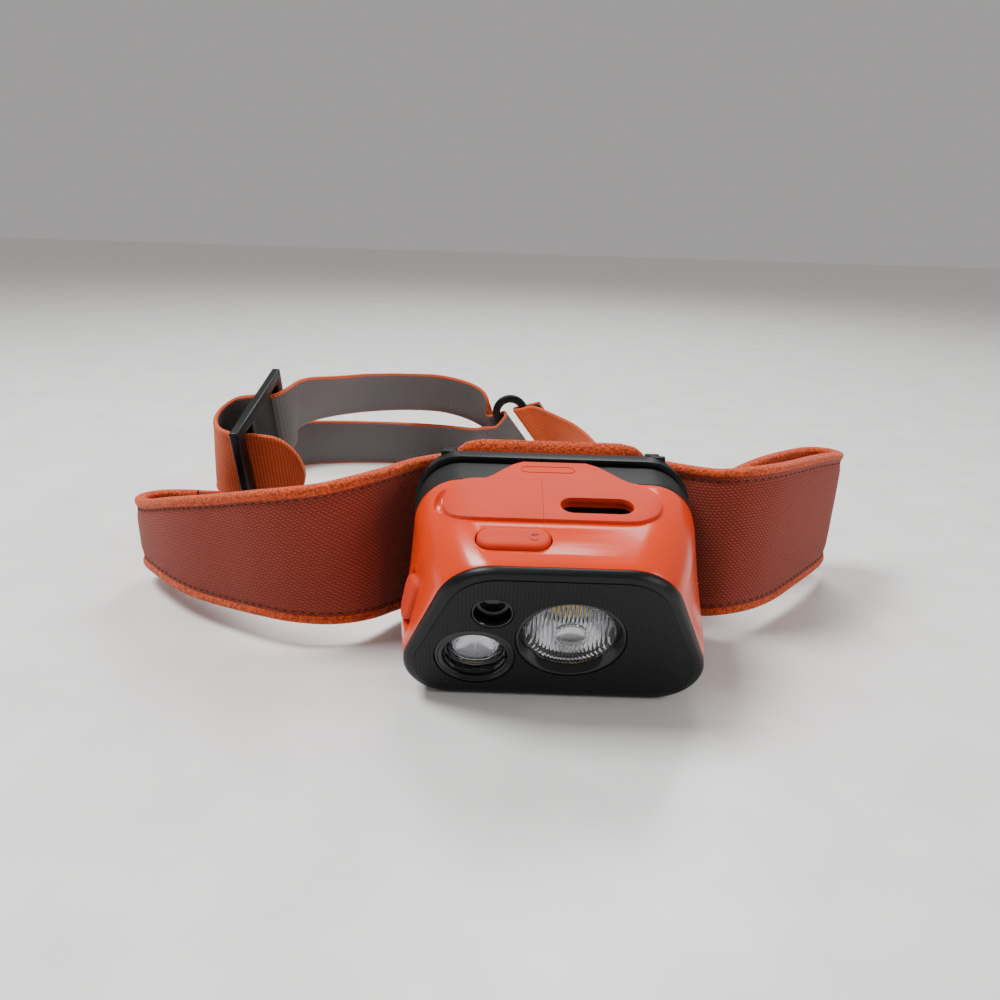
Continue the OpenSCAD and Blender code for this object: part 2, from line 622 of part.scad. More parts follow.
bezel();
front_shell();
rear_housing();
housing_seal();
housing_screws();
flood_lens();
flood_reflector();
spot_lens();
spot_ring();
sensor_window();
led_board();
flood_led();
spot_led();
light_sensor();
heat_sink();
main_board();
battery_pack();
battery_contacts();
usb_socket();
power_button();
power_switch();
side_button();
side_switch();
slot_pocket();
cover_anchor();
cover_flap();
bracket();
hinge_pins();
detent_spring();
band_left();
band_right();
band_middle();
forehead_pad();
rear_strap();
ring_strap();
adjuster_keeper();
strap_adjuster();
strap_ring();
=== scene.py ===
"""Looks of a rechargeable headlamp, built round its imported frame."""
import math

import bmesh
import bpy
from mathutils import Matrix, Vector


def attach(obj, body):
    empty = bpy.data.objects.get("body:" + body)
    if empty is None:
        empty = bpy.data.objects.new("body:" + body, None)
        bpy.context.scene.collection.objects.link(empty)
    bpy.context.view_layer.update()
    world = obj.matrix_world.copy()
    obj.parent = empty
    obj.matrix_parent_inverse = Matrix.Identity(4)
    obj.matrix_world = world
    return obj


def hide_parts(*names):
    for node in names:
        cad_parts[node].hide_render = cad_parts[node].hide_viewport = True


bl_info = {
    "name": "Headlamp builder",
    "version": (1, 0, 0),
    "blender": (4, 5, 0),
    "location": "View3D > Sidebar > Headlamp",
    "description": "Builds a headlamp with a padded band round its packed frame",
    "category": "Add Mesh",
}

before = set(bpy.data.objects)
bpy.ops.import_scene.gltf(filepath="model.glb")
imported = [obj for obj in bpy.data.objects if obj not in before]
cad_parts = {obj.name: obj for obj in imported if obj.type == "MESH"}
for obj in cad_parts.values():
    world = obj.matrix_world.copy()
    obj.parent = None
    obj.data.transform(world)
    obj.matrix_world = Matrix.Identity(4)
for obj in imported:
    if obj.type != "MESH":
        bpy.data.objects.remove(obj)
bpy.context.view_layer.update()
MM = 0.001
FULL_TURN = 6.2832
CAMERA_AT = (-12.6, -143.1, 98.1)
CAMERA_PITCH = 70.0
CAMERA_ROLL = 1.8

# ---------------------------------------------------------------- body of the lamp
DEPTH, TILT = 27.0, 20.0
FACE_LOW, FACE_TOP = (22.3, 10.0, 10.0), (12.1, 25.4, 13.0)
BACK_LOW, BACK_TOP = (25.5, 8.0, 8.0), (21.5, 34.5, 11.0)
LOW_SWELL, TOP_SWELL = (-3.4, 4.6, 4.6), (0.4, 0.0, 0.0)
WALL = 1.6
BELT = 8.0
RIM_END, SHELL_END = 0.035, 0.72
FLOOD, SPOT, SENSOR = (3.0, 19.3), (-17.0, 13.0), (-13.4, 27.0)
POWER = (-9.6, -5.0, 40.3)
POWER_SLOPE = 17.0
COVER_X, COVER_Y = (-25.0, 22.0), (0.5, 15.9)
FLAP_SPLIT = -3.5
SLOT = (8.0, 5.6, 16.4, 6.4)
SOCKET = (-14.0, 8.2)
STRAP_W = 20.0
HINGE = (31.0, 4.5)
LUG_X = (16.6, 23.6)
LUG_R = 3.4
LUG_BORE_R = 1.55
SOCKET_HALF = (5.6, 2.6)


def mix(a, b, t):
    return a + (b - a) * t


def section(t):
    """Seat, lean and two corner circles of the body's outline at a share t of its depth."""
    t = min(max(t, 0.0), 1.0)
    e = 1 - (1 - t) ** 1.8
    swell = math.sin(math.pi * t)
    low = [mix(a, b, e) + c * swell for a, b, c in zip(FACE_LOW, BACK_LOW, LOW_SWELL)]
    top = [mix(a, b, e) + c * swell for a, b, c in zip(FACE_TOP, BACK_TOP, TOP_SWELL)]
    return DEPTH * t, math.radians(TILT) * (1 - t) ** 1.3, low, top


def outline(sec, grow=0.0, steps=14):
    low, top = sec[2], sec[3]
    d = (top[0] - low[0], top[1] - low[1])
    turn = math.atan2(d[1], d[0]) - math.acos((low[2] - top[2]) / math.hypot(*d))
    half = []
    for (x, z, r), a0, a1 in ((low, -math.pi / 2, turn), (top, turn, math.pi / 2)):
        for i in range(steps + 1):
            a = mix(a0, a1, i / steps)
            half.append((x + (r + grow) * math.cos(a), z + (r + grow) * math.sin(a)))
    return half + [(-x, z) for x, z in reversed(half)]


def lean_point(sec, x, s, push=0.0):
    """A point at height s along a leaning section, pushed backwards along its normal."""
    y = sec[0] - s * math.sin(sec[1]) + push * math.cos(sec[1])
    return Vector((x, y, s * math.cos(sec[1]) + push * math.sin(sec[1]))) * MM


def body_ring(t, grow=0.0, push=0.0, steps=14):
    sec = section(t)
    return [lean_point(sec, x, s, push) for x, s in outline(sec, grow, steps)]


def top_height(x, y):
    """Height of the body's upper surface over a point of the plan, in millimetres."""
    lo, hi = 0.0, 1.0
    for _ in range(40):
        t = (lo + hi) / 2
        sec = section(t)
        cx, cz, r = sec[3]
        over = max(abs(x) - cx, 0.0)
        s = cz + math.sqrt(max(r * r - over * over, 0.0))
        if sec[0] - s * math.sin(sec[1]) < y:
            lo = t
        else:
            hi = t
    return s * math.cos(sec[1])


def side_width(y, z):
    """Distance of the body's side from the middle at a depth and a height, in millimetres."""
    near, far = 0.0, 1.0
    for _ in range(40):
        t = (near + far) / 2
        sec = section(t)
        s = z / math.cos(sec[1])
        if sec[0] - s * math.sin(sec[1]) < y:
            near = t
        else:
            far = t
    side = [p for p in outline(sec, 0.0, 24) if p[0] > 15]
    above = min((p for p in side if p[1] >= s), key=lambda p: p[1])
    below = max((p for p in side if p[1] < s), key=lambda p: p[1])
    return mix(below[0], above[0], (s - below[1]) / (above[1] - below[1]))


# ---------------------------------------------------------------- mesh helpers
def link(mesh, name):
    obj = bpy.data.objects.new(name, mesh)
    bpy.context.scene.collection.objects.link(obj)
    return obj


def from_bmesh(bm, name, crease=35.0, merge=1e-7):
    """Closes up a bmesh as an object whose edges are sharp above the crease angle."""
    bmesh.ops.remove_doubles(bm, verts=bm.verts, dist=merge)
    bmesh.ops.recalc_face_normals(bm, faces=bm.faces)
    limit = math.radians(crease)
    for f in bm.faces:
        f.smooth = True
    for e in bm.edges:
        e.smooth = not (e.is_manifold and e.calc_face_angle(0.0) > limit)
    mesh = bpy.data.meshes.new(name)
    bm.to_mesh(mesh)
    bm.free()
    return link(mesh, name)


def loft(rings, name, caps=(True, True), loop=False, crease=35.0, paint=None):
    """A skin through rings of equal length; paint gives the material index of each quad."""
    bm = bmesh.new()
    uv = bm.loops.layers.uv.new("Map")
    rows = [[bm.verts.new(p) for p in ring] for ring in rings]
    count = len(rows[0])
    pairs = list(zip(rows, rows[1:])) + ([(rows[-1], rows[0])] if loop else [])
    along = 0.0
    for k, (a, b) in enumerate(pairs):
        step = (a[0].co - b[0].co).length
        around = 0.0
        for i in range(count):
            j = (i + 1) % count
            width = (a[i].co - a[j].co).length
            f = bm.faces.new((a[i], a[j], b[j], b[i]))
            spots = ((along, around), (along, around + width),
                     (along + step, around + width), (along + step, around))
            for corner, spot in zip(f.loops, spots):
                corner[uv].uv = spot
            around += width
            if paint:
                f.material_index = paint(k, i)
        along += step
    if not loop:
        if caps[0]:
            bm.faces.new(rows[0][::-1])
        if caps[1]:
            bm.faces.new(rows[-1])
    return from_bmesh(bm, name, crease)


def lathe(profile, name, turn, centre, segments=72, crease=30.0):
    """Spins a closed profile of (radius, height) pairs about a face-mounted axis."""
    rings = []
    for i in range(segments):
        a = 2 * math.pi * i / segments
        rings.append([turn @ Vector(((centre[0] + r * math.cos(a)) * MM,
                                     (centre[1] + r * math.sin(a)) * MM, h * MM)) for r, h in profile])
    return loft(rings, name, loop=True, crease=crease)


def on_face():
    """From the front face's own axes (across, up, out) to the frame."""
    return Matrix.Rotation(math.radians(90 + TILT), 4, "X")


def power_frame():
    return Matrix.Translation(Vector(POWER) * MM) @ Matrix.Rotation(math.radians(POWER_SLOPE), 4, "X")


def prism(plan, low, high, name, turn=None):
    rings = [[Vector((x * MM, y * MM, z * MM)) for x, y in plan] for z in (low, high)]
    if turn:
        rings = [[turn @ p for p in ring] for ring in rings]
    return loft(rings, name)


def pill(length, width, steps=14):
    r = width / 2
    spots = []
    for side, start in ((1, -90), (-1, 90)):
        for i in range(steps + 1):
            a = math.radians(start + 180 * i / steps)
            spots.append((side * (length / 2 - r) + r * math.cos(a), r * math.sin(a)))
    return spots


def disc(radius, steps=72, x=0.0, y=0.0):
    turns = [math.radians(360 * k / steps) for k in range(steps)]
    return [(x + radius * math.cos(a), y + radius * math.sin(a)) for a in turns]


def moved(plan, x, y):
    return [(a + x, b + y) for a, b in plan]


def apply_modifiers(obj):
    bpy.context.view_layer.update()
    deps = bpy.context.evaluated_depsgraph_get()
    mesh = bpy.data.meshes.new_from_object(obj.evaluated_get(deps), depsgraph=deps)
    mesh.name = obj.data.name
    obj.modifiers.clear()
    obj.data = mesh
    return obj


def cut(obj, tool, operation="DIFFERENCE"):
    mod = obj.modifiers.new("Cut", "BOOLEAN")
    mod.operation, mod.solver, mod.object = operation, "EXACT", tool
    apply_modifiers(obj)
    bpy.data.objects.remove(tool)
    return obj


def soften(obj, width=0.25, segments=2, angle=35.0):
    """Rounds the sharp edges, so that they catch the light."""
    bm = bmesh.new()
    bm.from_mesh(obj.data)
    bmesh.ops.remove_doubles(bm, verts=bm.verts, dist=2e-6)
    bmesh.ops.dissolve_limit(bm, angle_limit=math.radians(0.5), verts=bm.verts, edges=bm.edges)
    bmesh.ops.recalc_face_normals(bm, faces=bm.faces)
    for f in bm.faces:
        f.smooth = True
    bm.to_mesh(obj.data)
    bm.free()
    mod = obj.modifiers.new("Round", "BEVEL")
    mod.width, mod.segments, mod.limit_method = width * MM, segments, "ANGLE"
    mod.angle_limit = math.radians(angle)
    mod.miter_outer = "MITER_ARC"
    apply_modifiers(obj)
    bm = bmesh.new()
    bm.from_mesh(obj.data)
    bmesh.ops.triangulate(bm, faces=[f for f in bm.faces if len(f.verts) > 4])
    limit = math.radians(angle)
    for f in bm.faces:
        f.smooth = True
    for e in bm.edges:
        e.smooth = not (e.is_manifold and e.calc_face_angle(0.0) > limit)
    bm.to_mesh(obj.data)
    bm.free()
    return obj


def crisp(obj, angle=35.0):
    """Marks the edges above an angle as sharp and the rest as smooth."""
    bm = bmesh.new()
    bm.from_mesh(obj.data)
    bmesh.ops.remove_doubles(bm, verts=bm.verts, dist=1e-6)
    for f in bm.faces:
        f.smooth = True
    for e in bm.edges:
        e.smooth = not (e.is_manifold and e.calc_face_angle(0.0) > math.radians(angle))
    bm.to_mesh(obj.data)
    bm.free()
    return obj


def join(parts, name):
    bm = bmesh.new()
    for p in parts:
        bm.from_mesh(p.data)
    mesh = bpy.data.meshes.new(name)
    bm.to_mesh(mesh)
    bm.free()
    for p in parts:
        bpy.data.objects.remove(p)
    return link(mesh, name)


def settle(obj, body, slot, material, *nodes, keep=False):
    """Gives a finished piece its material and its body, and hides the CAD nodes that it stands for."""
    if not keep:
        obj.data.materials.clear()
        obj.data.materials.append(material)
    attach(obj, body)
    if nodes:
        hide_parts(*nodes)
    return obj


def copy_node(node, name, width=0.3, segments=2, angle=35.0):
    """A rounded copy of a CAD node."""
    bm = bmesh.new()
    bm.from_mesh(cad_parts[node].data)
    bmesh.ops.remove_doubles(bm, verts=bm.verts, dist=2e-6)
    return soften(from_bmesh(bm, name), width, segments, angle)


# ---------------------------------------------------------------- shader helpers
def group(name, inputs, outputs):
    tree = bpy.data.node_groups.new(name, "ShaderNodeTree")
    for label, kind, value in inputs:
        sock = tree.interface.new_socket(label, in_out="INPUT", socket_type=kind)
        if value is not None:
            sock.default_value = value
    for label, kind in outputs:
        tree.interface.new_socket(label, in_out="OUTPUT", socket_type=kind)
    return tree, tree.nodes.new("NodeGroupInput"), tree.nodes.new("NodeGroupOutput")


def node(tree, kind, links=(), **values):
    """Adds a node; values named in0, in1 ... set its inputs, links are (input, socket)."""
    n = tree.nodes.new(kind)
    for key, value in values.items():
        if key.startswith("in") and key[2:].isdigit():
            n.inputs[int(key[2:])].default_value = value
        else:
            setattr(n, key, value)
    for key, sock in links:
        tree.links.new(sock, n.inputs[key])
    return n


def grain_group():
    """Fine moulded grain: a roughness that varies and a height for the bump."""
    inputs = [
        ("Vector", "NodeSocketVector", None),
        ("Scale", "NodeSocketFloat", 900.0),
        ("Base", "NodeSocketFloat", 0.4),
        ("Spread", "NodeSocketFloat", 0.1),
    ]
    outputs = [("Roughness", "NodeSocketFloat"), ("Height", "NodeSocketFloat")]
    tree, gi, go = group("Moulded grain", inputs, outputs)
    fine = node(tree, "ShaderNodeTexNoise", [("Vector", gi.outputs[0]), ("Scale", gi.outputs[1])])
    wide = node(tree, "ShaderNodeTexNoise", [("Vector", gi.outputs[0])])
    wide.inputs["Scale"].default_value = 60.0
    shift = node(tree, "ShaderNodeMath", [(0, wide.outputs[0])], operation="SUBTRACT", in1=0.5)
    scaled = node(tree, "ShaderNodeMath", [(0, shift.outputs[0]), (1, gi.outputs[3])], operation="MULTIPLY")
    rough = node(tree, "ShaderNodeMath", [(0, scaled.outputs[0]), (1, gi.outputs[2])], operation="ADD")
    tree.links.new(rough.outputs[0], go.inputs[0])
    tree.links.new(fine.outputs[0], go.inputs[1])
    return tree


def weave_group():
    """Crossed ribs on a map in metres: a shade for each yarn and a height."""
    inputs = [
        ("Vector", "NodeSocketVector", None),
        ("Rib", "NodeSocketFloat", 900.0),
        ("Slant", "NodeSocketFloat", 0.8),
    ]
    outputs = [("Shade", "NodeSocketFloat"), ("Height", "NodeSocketFloat")]
    tree, gi, go = group("Weave", inputs, outputs)
    split = node(tree, "ShaderNodeSeparateXYZ", [(0, gi.outputs[0])])
    slid = node(tree, "ShaderNodeMath", [(0, split.outputs[1]), (1, gi.outputs[2])], operation="MULTIPLY")
    lean = node(tree, "ShaderNodeMath", [(0, split.outputs[0]), (1, slid.outputs[0])], operation="ADD")
    waves = []
    for source, factor in ((lean.outputs[0], 1.0), (split.outputs[1], 1.35)):
        scaled = node(tree, "ShaderNodeMath", [(0, source), (1, gi.outputs[1])], operation="MULTIPLY")
        turns = FULL_TURN * factor
        wide = node(tree, "ShaderNodeMath", [(0, scaled.outputs[0])], operation="MULTIPLY", in1=turns)
        wave = node(tree, "ShaderNodeMath", [(0, wide.outputs[0])], operation="SINE")
        links = [(0, wave.outputs[0])]
        lifted = node(tree, "ShaderNodeMath", links, operation="MULTIPLY_ADD", in1=0.5, in2=0.5)
        waves.append(lifted.outputs[0])
    knots = node(tree, "ShaderNodeMath", [(0, waves[0]), (1, waves[1])], operation="MULTIPLY")
    noise = node(tree, "ShaderNodeTexNoise", [("Vector", gi.outputs[0])])
    noise.inputs["Scale"].default_value = 1500.0
    links = [(0, noise.outputs[0]), (1, knots.outputs[0]), (2, knots.outputs[0])]
    rough = node(tree, "ShaderNodeMath", links, operation="MULTIPLY_ADD")
    tree.links.new(rough.outputs[0], go.inputs[0])
    tree.links.new(rough.outputs[0], go.inputs[1])
    return tree


GROUPS = {}
MATERIALS = {}


def shared(name, maker):
    if name not in GROUPS:
        GROUPS[name] = maker()
    return GROUPS[name]


def base_material(name):
    mat = bpy.data.materials.new(name)
    mat.use_nodes = True
    return mat, mat.node_tree, mat.node_tree.nodes["Principled BSDF"]


def set_shader(shader, **values):
    for key, value in values.items():
        shader.inputs[key.replace("_", " ")].default_value = value


def bump(tree, shader, height, strength, distance):
    n = node(tree, "ShaderNodeBump", [("Height", height)])
    n.inputs["Strength"].default_value = strength
    n.inputs["Distance"].default_value = distance * MM
    tree.links.new(n.outputs[0], shader.inputs["Normal"])


def ramp(tree, source, low, high, a=0.0, b=1.0):
    n = node(tree, "ShaderNodeValToRGB", [(0, source)])
    n.color_ramp.elements[0].position, n.color_ramp.elements[1].position = a, b
    n.color_ramp.elements[0].color, n.color_ramp.elements[1].color = (*low, 1), (*high, 1)
    return n.outputs[0]


def plastic(name, colour, rough=0.4, spread=0.1, grain=900.0, depth=0.01, **extra):
    """Moulded plastic, rubber or metal: slow colour drift, uneven gloss and fine grain."""
    if name in MATERIALS:
        return MATERIALS[name]
    mat, tree, shader = base_material(name)
    spot = node(tree, "ShaderNodeTexCoord").outputs["Object"]
    g = node(tree, "ShaderNodeGroup", node_tree=shared("grain", grain_group))
    tree.links.new(spot, g.inputs[0])
    g.inputs[1].default_value, g.inputs[2].default_value, g.inputs[3].default_value = grain, rough, spread
    drift = node(tree, "ShaderNodeTexNoise", [("Vector", spot)])
    drift.inputs["Scale"].default_value = 45.0
    dark, light = [c * 0.94 for c in colour], [min(c * 1.05, 1.0) for c in colour]
    tree.links.new(ramp(tree, drift.outputs[0], dark, light, 0.3, 0.7), shader.inputs["Base Color"])
    tree.links.new(g.outputs[0], shader.inputs["Roughness"])
    bump(tree, shader, g.outputs[1], 0.35, depth)
    set_shader(shader, **extra)
    MATERIALS[name] = mat
    return mat


def cloth(name, low, high, rib=900.0, slant=0.8, depth=0.12, sheen=0.5):
    if name in MATERIALS:
        return MATERIALS[name]
    mat, tree, shader = base_material(name)
    spot = node(tree, "ShaderNodeUVMap", uv_map="Map").outputs[0]
    g = node(tree, "ShaderNodeGroup", node_tree=shared("weave", weave_group))
    tree.links.new(spot, g.inputs[0])
    g.inputs[1].default_value, g.inputs[2].default_value = rib, slant
    tree.links.new(ramp(tree, g.outputs[0], low, high, 0.1, 0.9), shader.inputs["Base Color"])
    bump(tree, shader, g.outputs[1], 0.9, depth)
    set_shader(shader, Roughness=0.9, Sheen_Weight=sheen, Sheen_Roughness=0.5)
    MATERIALS[name] = mat
    return mat


def looks():
    return bpy.context.scene.headlamp


def mat_shell():
    return plastic("Glossy orange shell", looks().shell_colour, 0.24, 0.08, 500.0, 0.004,
                   Specular_IOR_Level=0.35, Coat_Weight=0.15, Coat_Roughness=0.1)


def mat_soft():
    return plastic("Soft orange cover", looks().soft_colour, 0.6, 0.12, 1400.0, 0.012,
                   Specular_IOR_Level=0.22)


def mat_black():
    return plastic("Satin black plastic", looks().plastic_colour, 0.4, 0.12, 1500.0, 0.01,
                   Specular_IOR_Level=0.22)


def mat_housing():
    return plastic("Dark grey housing", (0.012, 0.013, 0.012), 0.5, 0.12, 1500.0, 0.012,
                   Specular_IOR_Level=0.15)


def mat_gloss():
    return plastic("Dark glossy trim", (0.004, 0.004, 0.005), 0.1, 0.04, 300.0, 0.002,
                   Specular_IOR_Level=0.4)


def mat_steel():
    return plastic("Brushed steel", (0.62, 0.62, 0.64), 0.3, 0.15, 1800.0, 0.004, Metallic=1.0)


def mat_mirror():
    return plastic("Reflector metal", (0.62, 0.63, 0.66), 0.16, 0.05, 400.0, 0.003, Metallic=1.0)


def mat_glass():
    return plastic("Clear lens", (0.97, 0.98, 1.0), 0.02, 0.02, 200.0, 0.001,
                   Transmission_Weight=1.0, IOR=1.42)


def mat_hem():
    """Fuzzy rolled edge: short pile in two tones."""
    if "Fuzzy hem" in MATERIALS:
        return MATERIALS["Fuzzy hem"]
    mat, tree, shader = base_material("Fuzzy hem")
    spot = node(tree, "ShaderNodeTexCoord").outputs["Object"]
    fine = node(tree, "ShaderNodeTexNoise", [("Vector", spot)])
    fine.inputs["Scale"].default_value, fine.inputs["Detail"].default_value = 1700.0, 3.0
    colour = looks().hem_colour
    dark = [c * 0.42 for c in colour]
    light = [min(c * 1.3, 1.0) for c in colour]
    tree.links.new(ramp(tree, fine.outputs[0], dark, light, 0.34, 0.66), shader.inputs["Base Color"])
    bump(tree, shader, fine.outputs[0], 1.0, 0.5)
    set_shader(shader, Roughness=0.95, Sheen_Weight=0.15, Sheen_Roughness=0.4)
    MATERIALS["Fuzzy hem"] = mat
    return mat


def mat_band():
    c = looks().band_colour
    dark = [v * 0.62 for v in c]
    light = [min(v * 1.5, 1) for v in c]
    return cloth("Knitted band face", dark, light, 1000.0, 0.9, 0.1, 0.08)


def mat_webbing():
    """Webbing: a grey inner face, an orange outer face and orange edges, on its own map."""
    if "Webbing" in MATERIALS:
        return MATERIALS["Webbing"]
    mat, tree, shader = base_material("Webbing")
    spot = node(tree, "ShaderNodeUVMap", uv_map="Map").outputs[0]
    g = node(tree, "ShaderNodeGroup", node_tree=shared("weave", weave_group))
    tree.links.new(spot, g.inputs[0])
    g.inputs[1].default_value, g.inputs[2].default_value = 1050.0, 0.0
    outer, inner = looks().webbing_colour, looks().lining_colour
    face = ramp(tree, g.outputs[0], [v * 0.6 for v in outer], [min(v * 1.25, 1) for v in outer])
    back = ramp(tree, g.outputs[0], [v * 0.85 for v in inner], [min(v * 1.15, 1) for v in inner])
    side = node(tree, "ShaderNodeAttribute", attribute_name="outer_side")
    blend = node(tree, "ShaderNodeMix", [("Factor", side.outputs["Fac"])], data_type="RGBA")
    colours = [sock for sock in blend.inputs if sock.type == "RGBA"]
    tree.links.new(back, colours[0])
    tree.links.new(face, colours[1])
    tree.links.new([o for o in blend.outputs if o.type == "RGBA"][0], shader.inputs["Base Color"])
    bump(tree, shader, g.outputs[1], 0.8, 0.1)
    set_shader(shader, Roughness=0.85, Sheen_Weight=0.06, Sheen_Roughness=0.5)
    MATERIALS["Webbing"] = mat
    return mat


def mat_panel():
    """Face panel with a fine square net moulded in it."""
    if "Netted face panel" in MATERIALS:
        return MATERIALS["Netted face panel"]
    mat, tree, shader = base_material("Netted face panel")
    spot = node(tree, "ShaderNodeUVMap", uv_map="Map").outputs[0]
    g = node(tree, "ShaderNodeGroup", node_tree=shared("weave", weave_group))
    tree.links.new(spot, g.inputs[0])
    g.inputs[1].default_value, g.inputs[2].default_value = 1300.0, 0.0
    c = looks().plastic_colour
    shade = ramp(tree, g.outputs[0], [v * 0.6 for v in c], [min(v * 2.6, 1) for v in c])
    tree.links.new(shade, shader.inputs["Base Color"])
    bump(tree, shader, g.outputs[1], 0.6, 0.05)
    set_shader(shader, Roughness=0.5, Specular_IOR_Level=0.2)
    MATERIALS["Netted face panel"] = mat
    return mat


# ---------------------------------------------------------------- paths of cloth
LEFT_WING = [
    (-26.7, 36.8, 3.8, 44.6), (-33.8, 35, 3.6, 43.6), (-39.6, 29.6, 3.9, 43),
    (-43.4, 24.4, 4.7, 43.2), (-48, 20.2, 5.6, 43), (-54, 18.2, 6, 42), (-62, 18, 6.5, 40.8),
    (-70, 20, 6.8, 39.2), (-78.5, 24, 6.3, 36.8), (-88, 29, 5.8, 34.1), (-97, 35, 5.8, 31.2),
    (-105.5, 42.5, 6, 27.7), (-110.6, 48.4, 5.4, 25.9), (-112, 52.6, 5.2, 25.4),
    (-109.6, 56, 5, 25.2), (-105, 57.2, 5, 25.2), (-98.5, 57.4, 5, 25.2),
]
RIGHT_WING = [(26.7, 36.8, 3.8, 44.6), (33.8, 35, 3.8, 44), (40, 31.4, 4.4, 44.4), (46, 30, 5.8, 45.3),
              (53.6, 33, 6.1, 45.4), (61, 39, 5.9, 44.8), (69, 47, 6.2, 43.9), (77, 56, 5.8, 42.3),
              (83, 63.4, 5.6, 40.6), (85.4, 69, 5.6, 39.6), (83.6, 73.8, 6, 39), (78.6, 75, 6.2, 38.6),
              (70, 71.6, 6.8, 37.8), (61, 66.2, 8, 36.8), (53, 61.2, 9.6, 34.6), (48.4, 58.8, 10.6, 31)]
MIDDLE = [(-26.3, 36.8, 3.8, 44.6), (-13, 36.8, 3.8, 44.6), (0, 36.8, 3.8, 44.6), (13, 36.8, 3.8, 44.6),
          (26.3, 36.8, 3.8, 44.6)]
REAR_STRAP = [
    (-98.1, 57.4, 5.2, 0, 0), (-92, 58, 5, 0, 0), (-88.4, 62.5, 4, 0, 0), (-88, 75, 2.5, 0, 0),
    (-92, 90, 1, 0, 0), (-97, 108, 0, 0, 0), (-102, 126, 0, 0, 0), (-105, 143, 0, 0, 0),
    (-102.5, 156, 0, 1, -1), (-93, 164.5, 0, 1, -3), (-74, 169, 0, 0, -4.5), (-54, 170, 0, 0, -5),
    (-38, 167, 0, 0, -4.5), (-24, 161, 0.5, -1, -4), (-17.5, 154.6, 2.5, -4, -3),
    (-11, 148.4, 5.2, -8.5, -1.4), (-3.7, 144.7, 8.2, -12, 0), (-1.3, 144.7, 10.6, -12, 0),
    (0.1, 145.4, 12.5, -12, 0), (0, 147, 13.5, -12, 0), (-0.7, 148.6, 13.5, -12, 0),
    (-2.7, 149.3, 12.5, -12, 0), (-7.1, 150, 11.9, -12, 0), (-13, 154.5, 15.5, -6, -5),
    (-20, 160, 19.5, -1.5, -8.5), (-28, 164.6, 22.2, 0, -9.6), (-39, 167.6, 24, 0, -10),
    (-53, 163, 25.4, 2, -10.4), (-66, 149, 27.6, 6, -9), (-75, 129, 30.4, 9.4, -6),
    (-79.6, 108, 33, 9.6, -4.6), (-79.6, 93, 34, 5.4, -6), (-77.4, 84.6, 33.4, 1, -8),
    (-77.4, 79.8, 32.2, -0.2, -6.6), (-79.2, 77.5, 31.6, -0.1, -6.4),
    (-81.8, 77.6, 31.6, -0.1, -6.4), (-85.4, 79, 31, -0.4, -6.6), (-91, 79.4, 29, -0.4, -4.4),
    (-94.8, 74.6, 26.4, 0, -2), (-95.8, 68, 24.6, 0.4, 0), (-94, 61.4, 24, 1, 0),
    (-89.6, 57.6, 24.2, 0.4, -2.4), (-84.6, 56.4, 24.4, 0, -4.6), (-80.8, 56.4, 24.6, 0, -5),
    (-76.4, 56, 24.4, 0, -5), (-71, 55.4, 23.8, 0, -4.6), (-66.4, 54.8, 23.2, 0, -4.4),
]
RING_STRAP = [
    (48, 58.4, 10.8, 0, 0), (39, 57.6, 9, 0, 0), (31, 61, 7, 0, 0), (27, 72, 5, 0, 0),
    (25, 90, 4, 0, 0), (23.4, 108, 4, 0, 0), (22, 124, 5.4, -1, 0), (19.5, 134, 8.6, -4, 0),
    (16, 141, 12, -8, 0), (11.1, 144.4, 16.8, -12, 0), (6.4, 144.7, 15.8, -12, 0),
    (4, 145.4, 15.2, -12, 0), (3.6, 147, 14.9, -12, 0), (4, 148.6, 15.3, -12, 0),
    (6.4, 149.3, 15.8, -12, 0), (9.9, 149, 16.7, -12, 0), (12.9, 147, 17.8, -11.6, 0),
]
KEEPER = [(-81.4, 68.7, 9.2, 0, 0), (-83.4, 70, 9, 0, 0), (-86.6, 72.8, 8.4, 0, 0), (-86.5, 78, 7.8, 0, 0)]


def smooth_path(stations, sub=6):
    """Catmull-Rom through the stations."""
    out = []
    last = len(stations) - 1
    for i in range(last):
        p = [stations[max(i - 1, 0)], stations[i], stations[i + 1], stations[min(i + 2, last)]]
        for k in range(sub):
            t = k / sub
            row = []
            for a, b, c, d in zip(*p):
                row.append(0.5 * (2 * b + (c - a) * t + (2 * a - 5 * b + 4 * c - d) * t * t
                                  + (3 * b - a - 3 * c + d) * t ** 3))
            out.append(row)
    out.append(list(stations[-1]))
    return out


def flat_heading(path, i):
    a, b = path[max(i - 1, 0)], path[min(i + 1, len(path) - 1)]
    v = Vector((b[0] - a[0], b[1] - a[1], 0.0))
    return v.normalized()


HEM = 2.4
SEAM = 3.1


def band_section(height, thick):
    """Half outline of the padded band: (height, half thickness) from the lower to the upper edge."""
    half = thick / 2
    low = [(0.0, 0.25), (0.12, 0.6), (0.45, 0.95), (1.0, 1.08), (1.6, 1.02), (HEM, 0.8), (SEAM, 0.62),
           (SEAM + 0.9, 0.8), (SEAM + 2.4, 0.94)]
    middle = [(height * f, 1.0) for f in (0.3, 0.42, 0.5, 0.58, 0.7)]
    full = low + middle + [(height - s, h) for s, h in reversed(low)]
    return [(s, h * half) for s, h in full]


